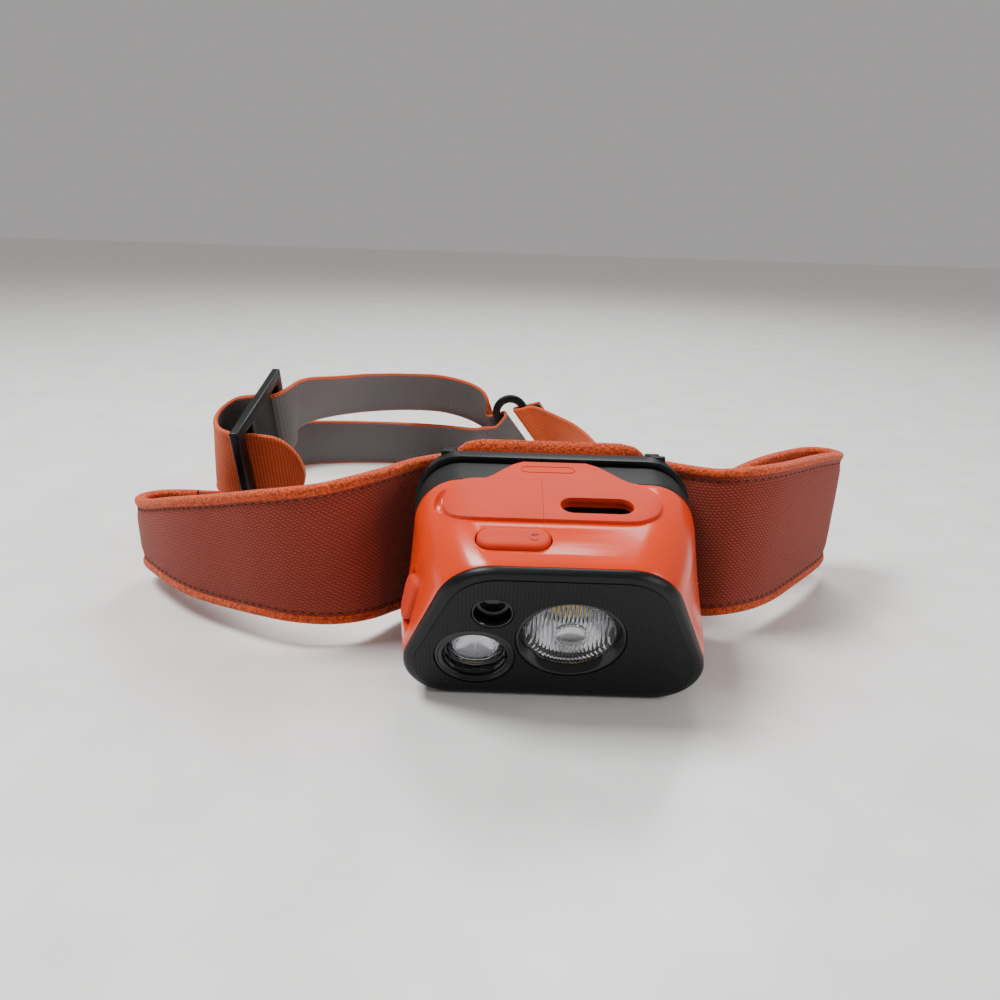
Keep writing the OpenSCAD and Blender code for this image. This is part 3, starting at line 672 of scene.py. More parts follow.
def band_piece(stations, name, thick=3.0):
    path = smooth_path(stations)
    rings = []
    for i, (x, y, z0, z1) in enumerate(path):
        h = flat_heading(path, i)
        side = Vector((h.y, -h.x, 0.0))
        rows = band_section(z1 - z0, thick)
        near = [Vector((x, y, z0 + s)) + side * w for s, w in rows]
        far = [Vector((x, y, z0 + s)) - side * w for s, w in reversed(rows)]
        rings.append([p * MM for p in near + far])
    count = len(rings[0]) // 2
    edge = 5

    def paint(_, i):
        k = i if i < count else 2 * count - 1 - i
        if i in (count - 1, 2 * count - 1):
            return 1
        low = min(k, count - 1 - k) if i < count else min(2 * count - 2 - i, i - count)
        return 1 if low < edge else 0

    obj = loft(rings, name, crease=60.0, paint=paint)
    obj.data.materials.append(mat_band())
    obj.data.materials.append(mat_hem())
    return obj


def stitch_tree():
    """Repeats a stitch along a seam line: inputs are the pitch, the stitch and its material."""
    if "stitch" in GROUPS:
        return GROUPS["stitch"]
    tree = bpy.data.node_groups.new("Stitches on a seam", "GeometryNodeTree")
    face = tree.interface
    face.new_socket("Geometry", in_out="INPUT", socket_type="NodeSocketGeometry")
    for label, value in (("Pitch", 0.0022), ("Length", 0.0011), ("Width", 0.00045)):
        face.new_socket(label, in_out="INPUT", socket_type="NodeSocketFloat").default_value = value
    face.new_socket("Material", in_out="INPUT", socket_type="NodeSocketMaterial")
    face.new_socket("Geometry", in_out="OUTPUT", socket_type="NodeSocketGeometry")
    gi, go = tree.nodes.new("NodeGroupInput"), tree.nodes.new("NodeGroupOutput")
    curve = node(tree, "GeometryNodeMeshToCurve", [(0, gi.outputs["Geometry"])])
    links = [("Curve", curve.outputs[0]), ("Length", gi.outputs["Pitch"])]
    points = node(tree, "GeometryNodeCurveToPoints", links, mode="LENGTH")
    ball = node(tree, "GeometryNodeMeshIcoSphere")
    ball.inputs["Radius"].default_value = 0.5
    ball.inputs["Subdivisions"].default_value = 2
    links = [(0, gi.outputs["Width"]), (1, gi.outputs["Width"]), (2, gi.outputs["Length"])]
    size = node(tree, "ShaderNodeCombineXYZ", links)
    links = [
        ("Points", points.outputs["Points"]),
        ("Instance", ball.outputs[0]),
        ("Rotation", points.outputs["Rotation"]),
        ("Scale", size.outputs[0]),
    ]
    place = node(tree, "GeometryNodeInstanceOnPoints", links)
    real = node(tree, "GeometryNodeRealizeInstances", [(0, place.outputs[0])])
    links = [("Geometry", real.outputs[0]), ("Material", gi.outputs["Material"])]
    paint = node(tree, "GeometryNodeSetMaterial", links)
    tree.links.new(paint.outputs[0], go.inputs[0])
    GROUPS["stitch"] = tree
    return tree


def stitches(lines, name, material, body, slot, pitch=None, length=1.1, width=0.45):
    """Runs stitches along each line of points and leaves one plain mesh."""
    bm = bmesh.new()
    for line in lines:
        verts = [bm.verts.new(p) for p in line]
        for a, b in zip(verts, verts[1:]):
            bm.edges.new((a, b))
    mesh = bpy.data.meshes.new(name)
    bm.to_mesh(mesh)
    bm.free()
    obj = link(mesh, name)
    tree = stitch_tree()
    mod = obj.modifiers.new("Stitches", "NODES")
    mod.node_group = tree
    step = (pitch or looks().stitch_pitch * 1000) * MM
    wanted = {"Pitch": step, "Length": length * MM, "Width": width * MM, "Material": material}
    for item in tree.interface.items_tree:
        if item.in_out == "INPUT" and item.name in wanted:
            mod[item.identifier] = wanted[item.name]
    apply_modifiers(obj)
    for p in obj.data.polygons:
        p.use_smooth = True
    return settle(obj, body, slot, material)


def band_seams(stations, offset, spots):
    """Seam lines on both faces of a band part, at heights from its lower or upper edge."""
    path = smooth_path(stations)
    lines = []
    for side in (1, -1):
        for from_top in (False, True):
            line = []
            for i, (x, y, z0, z1) in enumerate(path):
                h = flat_heading(path, i)
                z = z1 - spots if from_top else z0 + spots
                line.append(Vector((x + side * h.y * offset, y - side * h.x * offset, z)) * MM)
            lines.append(line)
    return lines


def strap_piece(stations, name, width, thick, flip_at=None, start_outer=False, tip=0.0):
    """Webbing with soft edges; the outer_side attribute says which face is the coloured one."""
    path = smooth_path(stations, 5)
    rows = []
    sides = []
    n = len(path)
    length = 0.0
    lengths = [0.0]
    for a, b in zip(path, path[1:]):
        length += math.dist(a[:3], b[:3])
        lengths.append(length)

    def mid(p):
        up = Vector((p[3], p[4], math.sqrt(width ** 2 - p[3] ** 2 - p[4] ** 2)))
        return Vector(p[:3]) + up / 2, up.normalized()

    for i, p in enumerate(path):
        c, up = mid(p)
        run = (mid(path[min(i + 1, n - 1)])[0] - mid(path[max(i - 1, 0)])[0]).normalized()
        s = run.cross(up).normalized()
        half = width / 2
        left = lengths[-1] - lengths[i]
        if tip and left < tip:
            half *= math.sqrt(max(1 - (1 - left / tip) ** 2, 0.01))
        ring = []
        cols = [-1, -0.955, -0.9, -0.86, -0.5, 0, 0.5, 0.86, 0.9, 0.955, 1]
        lift = [0.45, 0.95, 1.1, 0.9, 0.92, 0.95, 0.92, 0.9, 1.1, 0.95, 0.45]
        for f, h in zip(cols, lift):
            ring.append((c + up * f * half + s * h * thick / 2) * MM)
        for f, h in zip(reversed(cols), reversed(lift)):
            ring.append((c + up * f * half - s * h * thick / 2) * MM)
        rows.append(ring)
        sides.append(1 if (flip_at is not None and i > flip_at * 5) != start_outer else 0)
    obj = loft(rows, name, crease=70.0)
    attr = obj.data.attributes.new("outer_side", "FLOAT", "POINT")
    cols = len(rows[0])
    for i in range(n):
        for k in range(cols):
            edge = min(k % 11, 10 - k % 11)
            near = 1.0 if k < 11 else 0.0
            value = near if sides[i] else 1.0 - near
            if edge < 2:
                value = 1.0
            index = i * cols + k
            if index < len(attr.data):
                attr.data[index].value = value
    obj.data.materials.append(mat_webbing())
    return obj


def path_length(stations):
    path = smooth_path(stations, 5)
    return sum(math.dist(a[:3], b[:3]) for a, b in zip(path, path[1:])) * MM


# ---------------------------------------------------------------- settings
def colour_setting(name, description, default):
    return bpy.props.FloatVectorProperty(
        name=name, description=description, subtype="COLOR", size=3, min=0, max=1, default=default)


class HeadlampLooks(bpy.types.PropertyGroup):
    """Colours and sizes that can be changed"""

    shell_colour: colour_setting("Shell", "Colour of the glossy shell", (0.72, 0.04, 0.002))
    soft_colour: colour_setting("Soft cover", "Colour of the rubbery cover and buttons", (0.6, 0.032, 0.006))
    plastic_colour: colour_setting("Black plastic", "Colour of the bezel and bracket", (0.003, 0.0035, 0.004))
    band_colour: colour_setting("Band face", "Colour of the knitted band", (0.24, 0.024, 0.008))
    hem_colour: colour_setting("Hem", "Colour of the fuzzy edges and the pad", (0.58, 0.07, 0.01))
    webbing_colour: colour_setting("Webbing", "Colour of the strap's outer face", (0.66, 0.095, 0.014))
    lining_colour: colour_setting("Webbing lining", "Colour of the strap's inner face", (0.11, 0.1, 0.1))
    stitch_pitch: bpy.props.FloatProperty(name="Stitch pitch", description="Distance from stitch to stitch",
                                          default=0.0022, min=0.001, max=0.006, unit="LENGTH")
    edge_round: bpy.props.FloatProperty(name="Edge rounding", description="Radius of the moulded edges",
                                        default=0.0003, min=0.0001, max=0.001, unit="LENGTH")


# ---------------------------------------------------------------- pieces
def body_tube(t0, t1, name, steps=18):
    outer = [body_ring(mix(t0, t1, i / steps)) for i in range(steps + 1)]
    inner = [body_ring(mix(t1, t0, i / steps), -WALL) for i in range(steps + 1)]
    return loft(outer + inner, name, loop=True)


def side_box(low, high, name):
    (x0, y0, z0), (x1, y1, z1) = low, high
    return prism([(x0, y0), (x1, y0), (x1, y1), (x0, y1)], z0, z1, name)


def cover_outline(grow=0.0, steps=14):
    r = (COVER_Y[1] - COVER_Y[0]) / 2
    plan = pill(COVER_X[1] - COVER_X[0] + 2 * grow, 2 * (r + grow), steps)
    return moved(plan, (COVER_X[0] + COVER_X[1]) / 2, (COVER_Y[0] + COVER_Y[1]) / 2)


class HEADLAMP_OT_shell(bpy.types.Operator):
    """Front shell, rear housing, seam and nail recess"""

    bl_idname = "headlamp.shell"
    bl_label = "Shell and housing"

    def execute(self, context):
        edge = looks().edge_round * 1000
        shell = body_tube(RIM_END + 0.004, SHELL_END, "shell_skin")
        cut(shell, side_box((-60, -60, -20), (60, 80, BELT + 0.12), "tool"))
        cut(shell, prism(pill(15.7, 6.7), -12, 6, "tool", power_frame()))
        cut(shell, side_box((-40, -1.3, 16.45), (-26, 7.3, 27.55), "tool"))
        low = (SOCKET[0] - SOCKET_HALF[0], SOCKET[1] - SOCKET_HALF[1], 30)
        high = (SOCKET[0] + SOCKET_HALF[0], SOCKET[1] + SOCKET_HALF[1], 60)
        cut(shell, side_box(low, high, "tool"))
        cut(shell, prism(moved(pill(SLOT[2], SLOT[3]), SLOT[0], SLOT[1]), 30, 60, "tool"))
        nail = (-25.6, 8.2, top_height(-25.5, 8.2) + 3.4)
        scoop = bpy.data.meshes.new("tool")
        bm = bmesh.new()
        bmesh.ops.create_uvsphere(bm, u_segments=40, v_segments=24, radius=4.4 * MM)
        bm.transform(Matrix.Translation(Vector(nail) * MM) @ Matrix.Diagonal((0.62, 1.25, 1.1, 1)))
        bm.to_mesh(scoop)
        bm.free()
        cut(shell, link(scoop, "tool"))
        soften(shell, edge)
        settle(shell, "lamp", "shell_orange", mat_shell(), "front_shell")
        tray = body_tube(RIM_END + 0.004, SHELL_END + 0.004, "housing_tray")
        cut(tray, side_box((-60, -60, BELT - 0.12), (60, 80, 70), "tool"))
        soften(tray, 0.2)
        steps = 10
        t0 = SHELL_END + 0.008
        inner = [body_ring(mix(1 - WALL / DEPTH, t0, i / steps), -WALL) for i in range(steps + 1)]
        outer = [body_ring(mix(t0, 0.985, i / steps)) for i in range(steps + 1)]
        back = loft(inner + outer + [body_ring(1.0, -0.45)], "housing_back")
        soften(back, 0.2)
        lugs = []
        for s in (-1, 1):
            a, b = sorted((s * LUG_X[0], s * LUG_X[1]))
            turn = Matrix(((0, 0, 1, 0), (1, 0, 0, HINGE[0] * MM), (0, 1, 0, HINGE[1] * MM), (0, 0, 0, 1)))
            lug = prism(disc(LUG_R, 40), a, b, "tool", turn)
            cut(lug, side_box((a, 26.6, 2.1), (b, HINGE[0], 6.9), "tool"), "UNION")
            cut(lug, prism(disc(LUG_BORE_R, 40), a - 1, b + 1, "tool", turn))
            lugs.append(soften(lug, 0.3))
        case = join([tray, back, *lugs], "rear_case")
        settle(case, "lamp", "black_plastic", mat_housing(), "rear_housing")
        return {"FINISHED"}


class HEADLAMP_OT_bezel(bpy.types.Operator):
    """Bezel rim with its netted face panel"""

    bl_idname = "headlamp.bezel"
    bl_label = "Bezel"

    def execute(self, context):
        sec = section(0.0)
        rings = [
            body_ring(RIM_END, -0.2),
            body_ring(RIM_END),
            body_ring(RIM_END * 0.4),
            body_ring(0.0, -0.35, -0.12),
            body_ring(0.0, -0.9, -0.3),
        ]
        rim = loft(rings, "bezel_rim")
        holes = ((FLOOD, 11.65), (SPOT, 8.7), (SENSOR, 4.4))
        for (x, y), r in holes:
            cut(rim, prism(disc(r, 72, x, y), -9, 5, "tool", on_face()))
        soften(rim, 0.25)
        settle(rim, "lamp", "black_plastic", mat_black(), "bezel")
        shape = outline(sec, -1.9)
        panel = prism(shape, 0.32, 0.5, "face_panel", on_face())
        for (x, y), r in holes:
            cut(panel, prism(disc(r + 0.02, 72, x, y), -9, 5, "tool", on_face()))
        layer = panel.data.uv_layers.get("Map") or panel.data.uv_layers.new(name="Map")
        back = on_face().inverted()
        for poly in panel.data.polygons:
            for k in poly.loop_indices:
                p = back @ panel.data.vertices[panel.data.loops[k].vertex_index].co
                layer.data[k].uv = (p.x, p.y)
        soften(panel, 0.06, 1)
        settle(panel, "lamp", "black_plastic", mat_panel())
        return {"FINISHED"}


class HEADLAMP_OT_optics(bpy.types.Operator):
    """Flood lens, spot lens, sensor window and what lies behind them"""

    bl_idname = "headlamp.optics"
    bl_label = "Optics"

    def execute(self, context):
        turn = on_face()
        cup = [(11.6, -8.9), (11.6, 0.22), (11.35, 0.4), (11.0, 0.4), (10.7, 0.2), (9.75, -1.15),
               (9.75, -2.95), (9.0, -2.95), (3.4, -7.9), (3.4, -8.9)]
        ring = lathe(cup, "flood_cup", turn, FLOOD)
        settle(ring, "lamp", "dark_gloss", mat_gloss(), "flood_reflector")
        shine = lathe([(9.1, -2.9), (9.3, -2.75), (3.5, -7.6), (3.3, -7.8)], "flood_mirror", turn, FLOOD)
        settle(shine, "lamp", "dark_gloss", mat_mirror())
        rows, half = [], 9.6
        columns = 121
        for i in range(columns):
            x = mix(-half, half, i / (columns - 1))
            reach = math.sqrt(max(half * half - x * x, 0.04))
            wave = 0.2 * abs(math.sin(math.pi * (x + half) / 0.8))
            row = []
            for k in range(25):
                y = mix(-reach, reach, k / 24)
                r = math.hypot(x, y)
                rise = wave if r > 2.9 else 0.0
                if r < 2.9:
                    rise = 0.35 + 0.9 * math.sqrt(max(1 - (r / 2.9) ** 2, 0))
                row.append((x, y, -1.25 + rise * min(1.0, (half - r) / 0.6 if r < half else 0.0)))
            rows.append(row)
        bm = bmesh.new()

        def corner(x, y, z):
            return bm.verts.new(turn @ (Vector((FLOOD[0] + x, FLOOD[1] + y, z)) * MM))

        tops = [[corner(x, y, z) for x, y, z in row] for row in rows]
        lows = [[corner(x, y, -2.8) for x, y, _ in row] for row in rows]
        for grid, flip in ((tops, False), (lows, True)):
            for a, b in zip(grid, grid[1:]):
                for i in range(24):
                    quad = (a[i], b[i], b[i + 1], a[i + 1])
                    bm.faces.new(quad[::-1] if flip else quad)
        for a, b, c, d in zip(tops, tops[1:], lows, lows[1:]):
            for i in (0, 24):
                bm.faces.new((a[i], b[i], d[i], c[i]))
        for k in (0, columns - 1):
            for i in range(24):
                bm.faces.new((tops[k][i], tops[k][i + 1], lows[k][i + 1], lows[k][i]))
        lens = from_bmesh(bm, "flood_glass", 50.0)
        settle(lens, "lamp", "clear_lens", mat_glass(), "flood_lens")
        edge = [(3.0, -1.2), (3.0, -0.75), (3.2, -0.62), (3.5, -0.62), (3.7, -0.75), (3.7, -1.2)]
        trim = lathe(edge, "flood_dome_ring", turn, FLOOD, 48)
        settle(trim, "lamp", "clear_lens", mat_glass())
        cup = [(8.6, -8.9), (8.6, 0.25), (8.35, 0.42), (8.0, 0.42), (7.8, 0.25), (7.6, 0.25), (7.45, 0.3),
               (7.05, 0.3), (6.85, 0.1), (6.8, -0.6), (6.45, -1.0), (6.45, -5.4), (5.4, -5.6), (2.8, -8.0),
               (2.8, -8.9)]
        spot = lathe(cup, "spot_cup", turn, SPOT)
        settle(spot, "lamp", "black_plastic", mat_gloss(), "spot_ring")
        bowl = [(6.3, -2.4), (6.42, -2.4), (6.42, -5.2), (2.9, -7.8), (2.7, -7.6), (6.2, -5.0)]
        mirror = lathe(bowl, "spot_mirror", turn, SPOT)
        settle(mirror, "lamp", "black_plastic", mat_mirror())
        bulge = [
            (0.05, -5.5), (6.25, -5.5), (6.3, -3.2), (6.1, -2.7), (4.6, -2.45), (4.4, -2.3),
            (4.2, -2.45), (3.4, -2.1), (2.2, -1.75), (1.0, -1.55), (0.05, -1.5),
        ]
        settle(lathe(bulge, "spot_glass", turn, SPOT, 60), "lamp", "clear_lens", mat_glass(), "spot_lens")
        pane = [(0.05, -3.4), (4.3, -3.4), (4.3, 0.3), (4.15, 0.42), (3.9, 0.42), (3.75, 0.2), (3.4, -2.2),
                (2.7, -2.4), (2.6, -2.7), (1.3, -2.5), (0.05, -2.45)]
        window = lathe(pane, "sensor_pane", turn, SENSOR, 60)
        settle(window, "lamp", "dark_gloss", mat_gloss(), "sensor_window")
        return {"FINISHED"}


class HEADLAMP_OT_buttons(bpy.types.Operator):
    """Power button, side button and their marks"""

    bl_idname = "headlamp.buttons"
    bl_label = "Buttons"

    @staticmethod
    def side_key():
        """A bar whose outer face follows the shell's side and stands a little out of it."""
        rings = []
        for out, inset in ((-2.4, 0.0), (0.3, 0.0), (0.8, 0.25), (1.05, 0.8), (1.1, 1.6)):
            ring = []
            for x, y in pill(10.2 - 2 * inset, 7.6 - 2 * inset):
                depth, height = 3.0 + y, 22.0 + x
                ring.append(Vector((-side_width(depth, height) - out, depth, height)) * MM)
            rings.append(ring)
        return loft(rings, "side_key", crease=50.0)

    def execute(self, context):
        turn = power_frame()
        levels = [
            (-5.4, 1.2), (-4.2, 1.2), (-4.2, 0.9), (-3.4, 0.9), (-3.4, 0.0), (-0.9, 0.0),
            (-0.45, -0.08), (-0.15, -0.35), (-0.02, -0.8), (0.0, -1.4), (-0.06, -2.2),
        ]
        rings = []
        for h, grow in levels:
            if h <= -4.2 and grow == 1.2:
                shape = pill(4.0, 2.4)
            else:
                shape = pill(15 + 2 * grow, 6 + 2 * grow)
            rings.append([turn @ (Vector((x, y, h)) * MM) for x, y in shape])
        button = loft(rings, "power_key", crease=50.0)
        settle(button, "power_button", "soft_orange", mat_soft(), "power_button")
        arcs = []
        for k in range(21):
            a = math.radians(-50 - 260 * k / 20)
            c, s = math.cos(a), math.sin(a)
            arcs.append([turn @ (Vector((4.2 + r * c, r * s, h)) * MM)
                         for r, h in ((0.85, -0.1), (0.85, 0.09), (1.1, 0.09), (1.1, -0.1))])
        arc = loft(arcs, "tool")
        bar = prism([(4.07, 0.35), (4.33, 0.35), (4.33, 1.35), (4.07, 1.35)], -0.1, 0.09, "tool", turn)
        settle(join([arc, bar], "power_mark"), "power_button", "soft_orange",
               plastic("Mark", [c * 0.55 for c in looks().soft_colour], 0.5))
        side = self.side_key()
        settle(side, "side_button", "soft_orange", mat_soft(), "side_button")
        return {"FINISHED"}


class HEADLAMP_OT_cover(bpy.types.Operator):
    """Soft cover over the socket: fixed part with its tongue, and the flap"""

    bl_idname = "headlamp.cover"
    bl_label = "Soft cover"

    @staticmethod
    def layer(low, high, name):
        xs = [mix(-27, 25, i / 52) for i in range(53)]
        ys = [mix(-1.5, 26.9, i / 34) for i in range(35)]
        heights = {(x, y): top_height(x, y) for x in xs for y in ys}
        bm = bmesh.new()
        grids = []
        for d in (low, high):
            grids.append([[bm.verts.new(Vector((x, y, heights[x, y] + d)) * MM) for y in ys] for x in xs])
        for grid, flip in zip(grids, (True, False)):
            for a, b in zip(grid, grid[1:]):
                for i in range(len(ys) - 1):
                    quad = (a[i], b[i], b[i + 1], a[i + 1])
                    bm.faces.new(quad[::-1] if flip else quad)
        rim = [(i, 0) for i in range(len(xs))] + [(len(xs) - 1, j) for j in range(1, len(ys))]
        rim += [(i, len(ys) - 1) for i in range(len(xs) - 2, -1, -1)]
        rim += [(0, j) for j in range(len(ys) - 2, 0, -1)]
        for a, b in zip(rim, rim[1:] + rim[:1]):
            under, over = grids
            bm.faces.new([under[a[0]][a[1]], under[b[0]][b[1]], over[b[0]][b[1]], over[a[0]][a[1]]])
        return from_bmesh(bm, name)

    def execute(self, context):
        split = FLAP_SPLIT
        whole = cover_outline(0.0)
        tongue = [
            (-16.5, 10.0), (16.5, 10.0), (16.5, 15.4), (14.5, 17.3), (9.6, 24.3), (7.4, 26.2),
            (-7.4, 26.2), (-9.6, 24.3), (-14.5, 17.3), (-16.5, 15.4),
        ]
        fixed = self.layer(-0.3, 0.8, "cover_fixed")
        shape = prism(whole, 30, 60, "tool")
        leaf = prism(tongue, 30, 60, "tool")
        cut(shape, leaf, "UNION")
        cut(fixed, shape, "INTERSECT")
        cut(fixed, prism(moved(pill(SLOT[2] - 0.8, SLOT[3] - 0.8), SLOT[0], SLOT[1]), 30, 60, "tool"))
        soften(fixed, 0.45, 4)
        away = prism(cover_outline(0.05), 30, 60, "tool")
        cut(away, side_box((split + 0.06, -20, 20), (60, 40, 70), "tool"))
        crisp(cut(fixed, away))
        rim = self.layer(0.7, 0.95, "tool")
        oval = prism(moved(pill(12.5, 3.6), -1.8, 21.3), 30, 60, "tool")
        cut(oval, prism(moved(pill(12.0, 3.1), -1.8, 21.3), 29, 61, "tool"))
        cut(rim, oval, "INTERSECT")
        settle(join([fixed, rim], "cover_body"), "lamp", "soft_orange", mat_soft(), "cover_anchor")
        flap = self.layer(-0.3, 0.8, "cover_leaf")
        cut(flap, prism(whole, 30, 60, "tool"), "INTERSECT")
        soften(flap, 0.45, 4)
        crisp(cut(flap, side_box((split, -20, 20), (60, 40, 70), "tool")))
        settle(flap, "cover_flap", "soft_orange", mat_soft(), "cover_flap")
        return {"FINISHED"}


class HEADLAMP_OT_bracket(bpy.types.Operator):
    """Bracket arch with its ears and belt loops"""

    bl_idname = "headlamp.bracket"
    bl_label = "Bracket"

    def execute(self, context):
        arch = copy_node("bracket", "bracket_arch", 0.35, 2)
        cut(arch, side_box((-40, 33.4, 45.1), (40, 50, 60), "tool"))
        settle(arch, "headband", "black_plastic", mat_black(), "bracket")
        return {"FINISHED"}


class HEADLAMP_OT_band(bpy.types.Operator):
    """Padded front band with its hems and stitches"""

    bl_idname = "headlamp.band"
    bl_label = "Padded band"

    def execute(self, context):
        # The dark stitch dots are painted shade: they stand for the shadow inside the seams' stitch holes.
        dark = plastic("Stitch holes", (0.05, 0.012, 0.008), 0.8)
        for stations, name, cad in (
                (LEFT_WING, "left_band", "band_left"),
                (RIGHT_WING, "right_band", "band_right"),
                (MIDDLE, "middle_band", "band_middle")):
            piece = band_piece(stations, name)
            settle(piece, "headband", "band_cloth", None, cad, keep=True)
            stitches(band_seams(stations, 0.98, SEAM), name + "_seams", dark, "headband", "band_cloth")
        return {"FINISHED"}


class HEADLAMP_OT_pad(bpy.types.Operator):
    """Forehead pad, puffed up by a cloth simulation"""

    bl_idname = "headlamp.pad"
    bl_label = "Forehead pad"

    def execute(self, context):
        y0, y1 = 41.3, 44.6
        low, top = (20.5, 8.4, 6.0), (18.6, 39.8, 7.4)
        sec = (0, 0, low, top)
        rings = []
        front = ((y0, -1.2), (y0 + 0.35, -0.3), (y0 + 1.2, 0.0))
        back = ((y1 - 1.2, 0.0), (y1 - 0.35, -0.3), (y1, -1.2))
        for y, grow in front + back:
            rings.append([Vector((x, y, z)) * MM for x, z in outline(sec, grow - 0.4)])
        pad = loft(rings, "forehead_cushion", crease=80.0)
        self.puff(pad)
        uv = pad.data.uv_layers.get("Map") or pad.data.uv_layers.new(name="Map")
        for poly in pad.data.polygons:
            poly.use_smooth = True
            for k in poly.loop_indices:
                co = pad.data.vertices[pad.data.loops[k].vertex_index].co
                uv.data[k].uv = (co.x, co.z)
        settle(pad, "headband", "pad_cloth", mat_hem(), "forehead_pad")
        line = [Vector((x, y1 + 0.05, z)) * MM for x, z in outline(sec, -3.2)]
        # The dark stitch dots are painted shade: they stand for the shadow inside the seam's stitch holes.
        dark = plastic("Stitch holes", (0.05, 0.012, 0.008), 0.8)
        stitches([line + line[:1]], "pad_seam", dark, "headband", "pad_cloth")
        return {"FINISHED"}

    @staticmethod
    def puff(pad):
        scene = bpy.context.scene
        remesh = pad.modifiers.new("Voxels", "REMESH")
        remesh.mode, remesh.voxel_size = "VOXEL", 0.0012
        apply_modifiers(pad)
        rest = [v.co.copy() for v in pad.data.vertices]
        cloth_mod = pad.modifiers.new("Cloth", "CLOTH")
        cloth_mod.settings.use_pressure = True
        cloth_mod.settings.uniform_pressure_force = 3.0
        cloth_mod.settings.effector_weights.gravity = 0.0
        cloth_mod.settings.mass = 0.2
        cloth_mod.point_cache.frame_start, cloth_mod.point_cache.frame_end = 1, 12
        for f in range(1, 13):
            scene.frame_set(f)
        apply_modifiers(pad)
        scene.frame_set(1)
        for v, r in zip(pad.data.vertices, rest):
            step = v.co - r
            if step.length > 0.0007:
                v.co = r + step.normalized() * 0.0007
        pad.data.update()


class HEADLAMP_OT_straps(bpy.types.Operator):
    """Rear strap, short ring strap and the keeper webbing"""

    bl_idname = "headlamp.straps"
    bl_label = "Straps"

    def execute(self, context):
        rear = strap_piece(REAR_STRAP, "rear_webbing", STRAP_W, 1.3, flip_at=19, tip=9.0)
        settle(rear, "headband", "webbing", None, "rear_strap", keep=True)
        ring = strap_piece(RING_STRAP, "ring_webbing", STRAP_W, 1.3)
        settle(ring, "headband", "webbing", None, "ring_strap", keep=True)
        keeper = strap_piece(KEEPER, "keeper_webbing", 8.0, 1.0)
        settle(keeper, "headband", "webbing", None, "adjuster_keeper", keep=True)
        thread = plastic("Orange thread", (0.5, 0.12, 0.03), 0.7)
        lines = []
        for dx in (0.0, 1.6, 3.2):
            lines.append([Vector((-96.2 + dx, 58.05, z)) * MM for z in (6.5, 12, 18, 23.5)])
        tacks = stitches(lines, "bar_tack_left", thread, "headband", "webbing", 1.2, 1.0, 0.35)
        path_length(REAR_STRAP)
        path_length(RING_STRAP)
        return {"FINISHED"}


class HEADLAMP_OT_buckles(bpy.types.Operator):
    """Strap adjuster and strap ring"""

    bl_idname = "headlamp.buckles"
    bl_label = "Buckles"

    def execute(self, context):
        adjuster = copy_node("strap_adjuster", "adjuster_frame", 0.7, 3)
        settle(adjuster, "headband", "black_plastic", mat_black(), "strap_adjuster")
        ring = copy_node("strap_ring", "ring_loop", 0.8, 4)
        settle(ring, "headband", "black_plastic", mat_black(), "strap_ring")
        return {"FINISHED"}


class HEADLAMP_OT_inside(bpy.types.Operator):
    """Materials of the pieces inside"""

    bl_idname = "headlamp.inside"
    bl_label = "Inner pieces"

    def execute(self, context):
        board = plastic("Green circuit board", (0.02, 0.12, 0.05), 0.35, 0.1)
        phosphor = plastic("LED phosphor", (0.85, 0.6, 0.1), 0.4)
        finishes = {
            "led_board": board,
            "main_board": board,
            "heat_sink": plastic("Aluminium", (0.6, 0.6, 0.62), 0.35, Metallic=1.0),
            "flood_led": phosphor,
            "spot_led": phosphor,
            "light_sensor": mat_gloss(),
            "battery_pack": plastic("Cell wrap", (0.05, 0.12, 0.28), 0.3, 0.08),
            "battery_contacts": plastic("Contact brass", (0.7, 0.5, 0.18), 0.3, Metallic=1.0),
            "usb_socket": mat_steel(),
            "housing_screws": mat_steel(),
            "hinge_pins": mat_steel(),
            "detent_spring": mat_steel(),
            "housing_seal": plastic("Seal rubber", (0.02, 0.02, 0.02), 0.7),
            "power_switch": mat_black(),
            "side_switch": mat_black(),
            "slot_pocket": mat_black(),
        }
        for name, material in finishes.items():
            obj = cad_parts[name]
            obj.data.materials.clear()
            obj.data.materials.append(material)
        return {"FINISHED"}


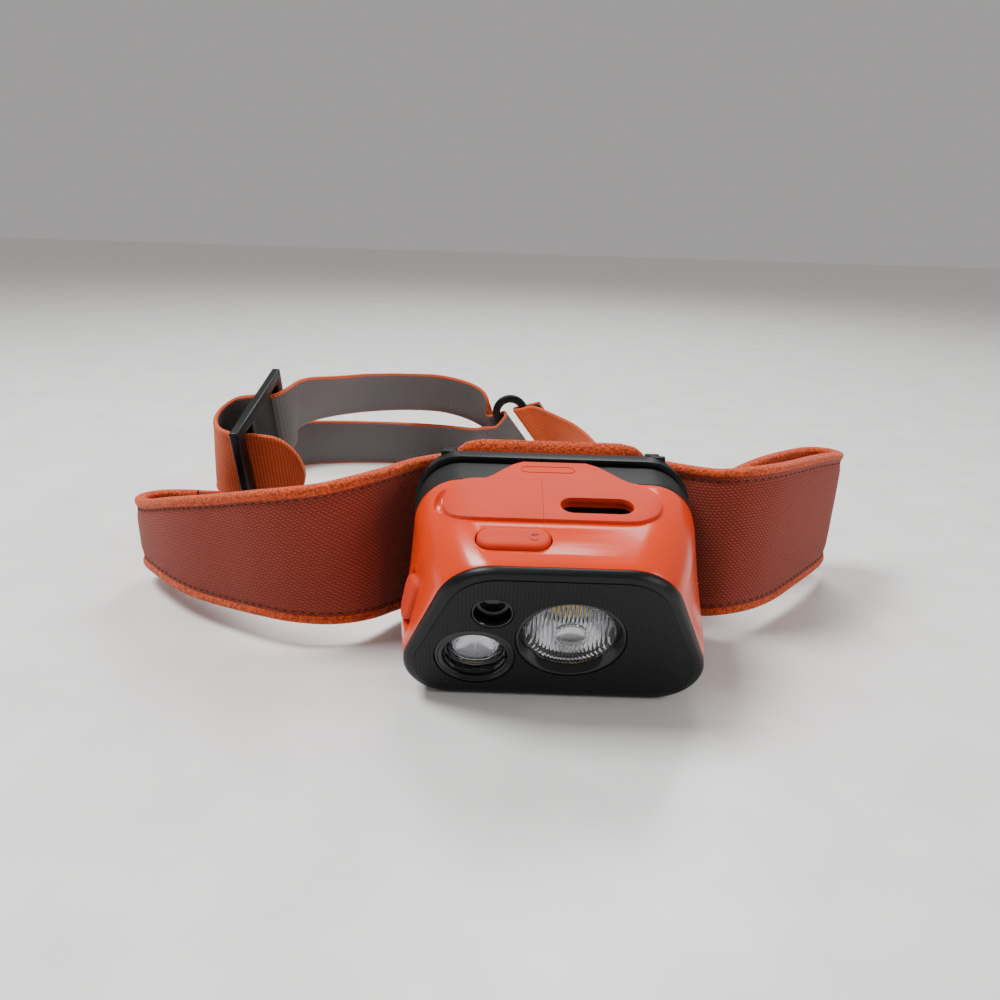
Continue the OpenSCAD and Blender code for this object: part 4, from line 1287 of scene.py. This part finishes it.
class HEADLAMP_OT_stage(bpy.types.Operator):
    """Floor, lights, world and camera"""

    bl_idname = "headlamp.stage"
    bl_label = "Stage"

    def execute(self, context):
        scene = context.scene
        bm = bmesh.new()
        bmesh.ops.create_grid(bm, x_segments=2, y_segments=2, size=3.0)
        floor = from_bmesh(bm, "floor")
        floor.data.transform(Matrix.Translation((0, 0, -0.0002)))
        floor.data.materials.append(plastic("Pale table", (0.84, 0.83, 0.81), 0.3, 0.03, 200.0, 0.002))
        for name, place, aim, size, power in (
                ("key", (-0.35, 0.05, 0.7), (0, 0.04, 0), 0.25, 7.0),
                ("fill", (0.6, -0.2, 0.4), (0, 0.04, 0), 0.3, 2.0),
                ("back", (0.1, 0.6, 0.7), (0, 0.08, 0), 0.4, 5.0)):
            light = bpy.data.lights.new(name, "AREA")
            light.size, light.energy = size, power
            obj = bpy.data.objects.new(name, light)
            obj.location = place
            obj.rotation_euler = (Vector(aim) - Vector(place)).to_track_quat("-Z", "Y").to_euler()
            scene.collection.objects.link(obj)
        world = bpy.data.worlds.new("studio")
        world.use_nodes = True
        world.node_tree.nodes["Background"].inputs[0].default_value = (0.78, 0.76, 0.75, 1)
        world.node_tree.nodes["Background"].inputs[1].default_value = 0.5
        scene.world = world
        cam = bpy.data.cameras.new("camera")
        cam.sensor_width, cam.lens, cam.clip_start = 36.0, 27.0, 0.01
        obj = bpy.data.objects.new("camera", cam)
        scene.collection.objects.link(obj)
        pitch = Matrix.Rotation(math.radians(CAMERA_PITCH), 4, "X")
        roll = Matrix.Rotation(math.radians(CAMERA_ROLL), 4, "Z")
        obj.matrix_world = Matrix.Translation(Vector(CAMERA_AT) * MM) @ pitch @ roll
        scene.camera = obj
        return {"FINISHED"}


PIECES = (
    "stage", "shell", "bezel", "optics", "buttons", "cover",
    "bracket", "band", "pad", "buckles", "straps", "inside",
)


class HEADLAMP_PT_panel(bpy.types.Panel):
    """Settings and steps"""

    bl_label = "Headlamp"
    bl_idname = "HEADLAMP_PT_panel"
    bl_space_type = "VIEW_3D"
    bl_region_type = "UI"
    bl_category = "Headlamp"

    def draw(self, context):
        for name in HeadlampLooks.__annotations__:
            self.layout.prop(context.scene.headlamp, name)
        for name in PIECES:
            self.layout.operator("headlamp." + name)


CLASSES = (HeadlampLooks, HEADLAMP_OT_stage, HEADLAMP_OT_shell, HEADLAMP_OT_bezel, HEADLAMP_OT_optics,
           HEADLAMP_OT_buttons, HEADLAMP_OT_cover, HEADLAMP_OT_bracket, HEADLAMP_OT_band, HEADLAMP_OT_pad,
           HEADLAMP_OT_straps, HEADLAMP_OT_buckles, HEADLAMP_OT_inside, HEADLAMP_PT_panel)


def register():
    for cls in CLASSES:
        bpy.utils.register_class(cls)
    bpy.types.Scene.headlamp = bpy.props.PointerProperty(type=HeadlampLooks)


def unregister():
    del bpy.types.Scene.headlamp
    for cls in reversed(CLASSES):
        bpy.utils.unregister_class(cls)


def main():
    register()
    for name in PIECES:
        getattr(bpy.ops.headlamp, name)()
    bpy.context.view_layer.update()


if __name__ == "__main__":
    main()
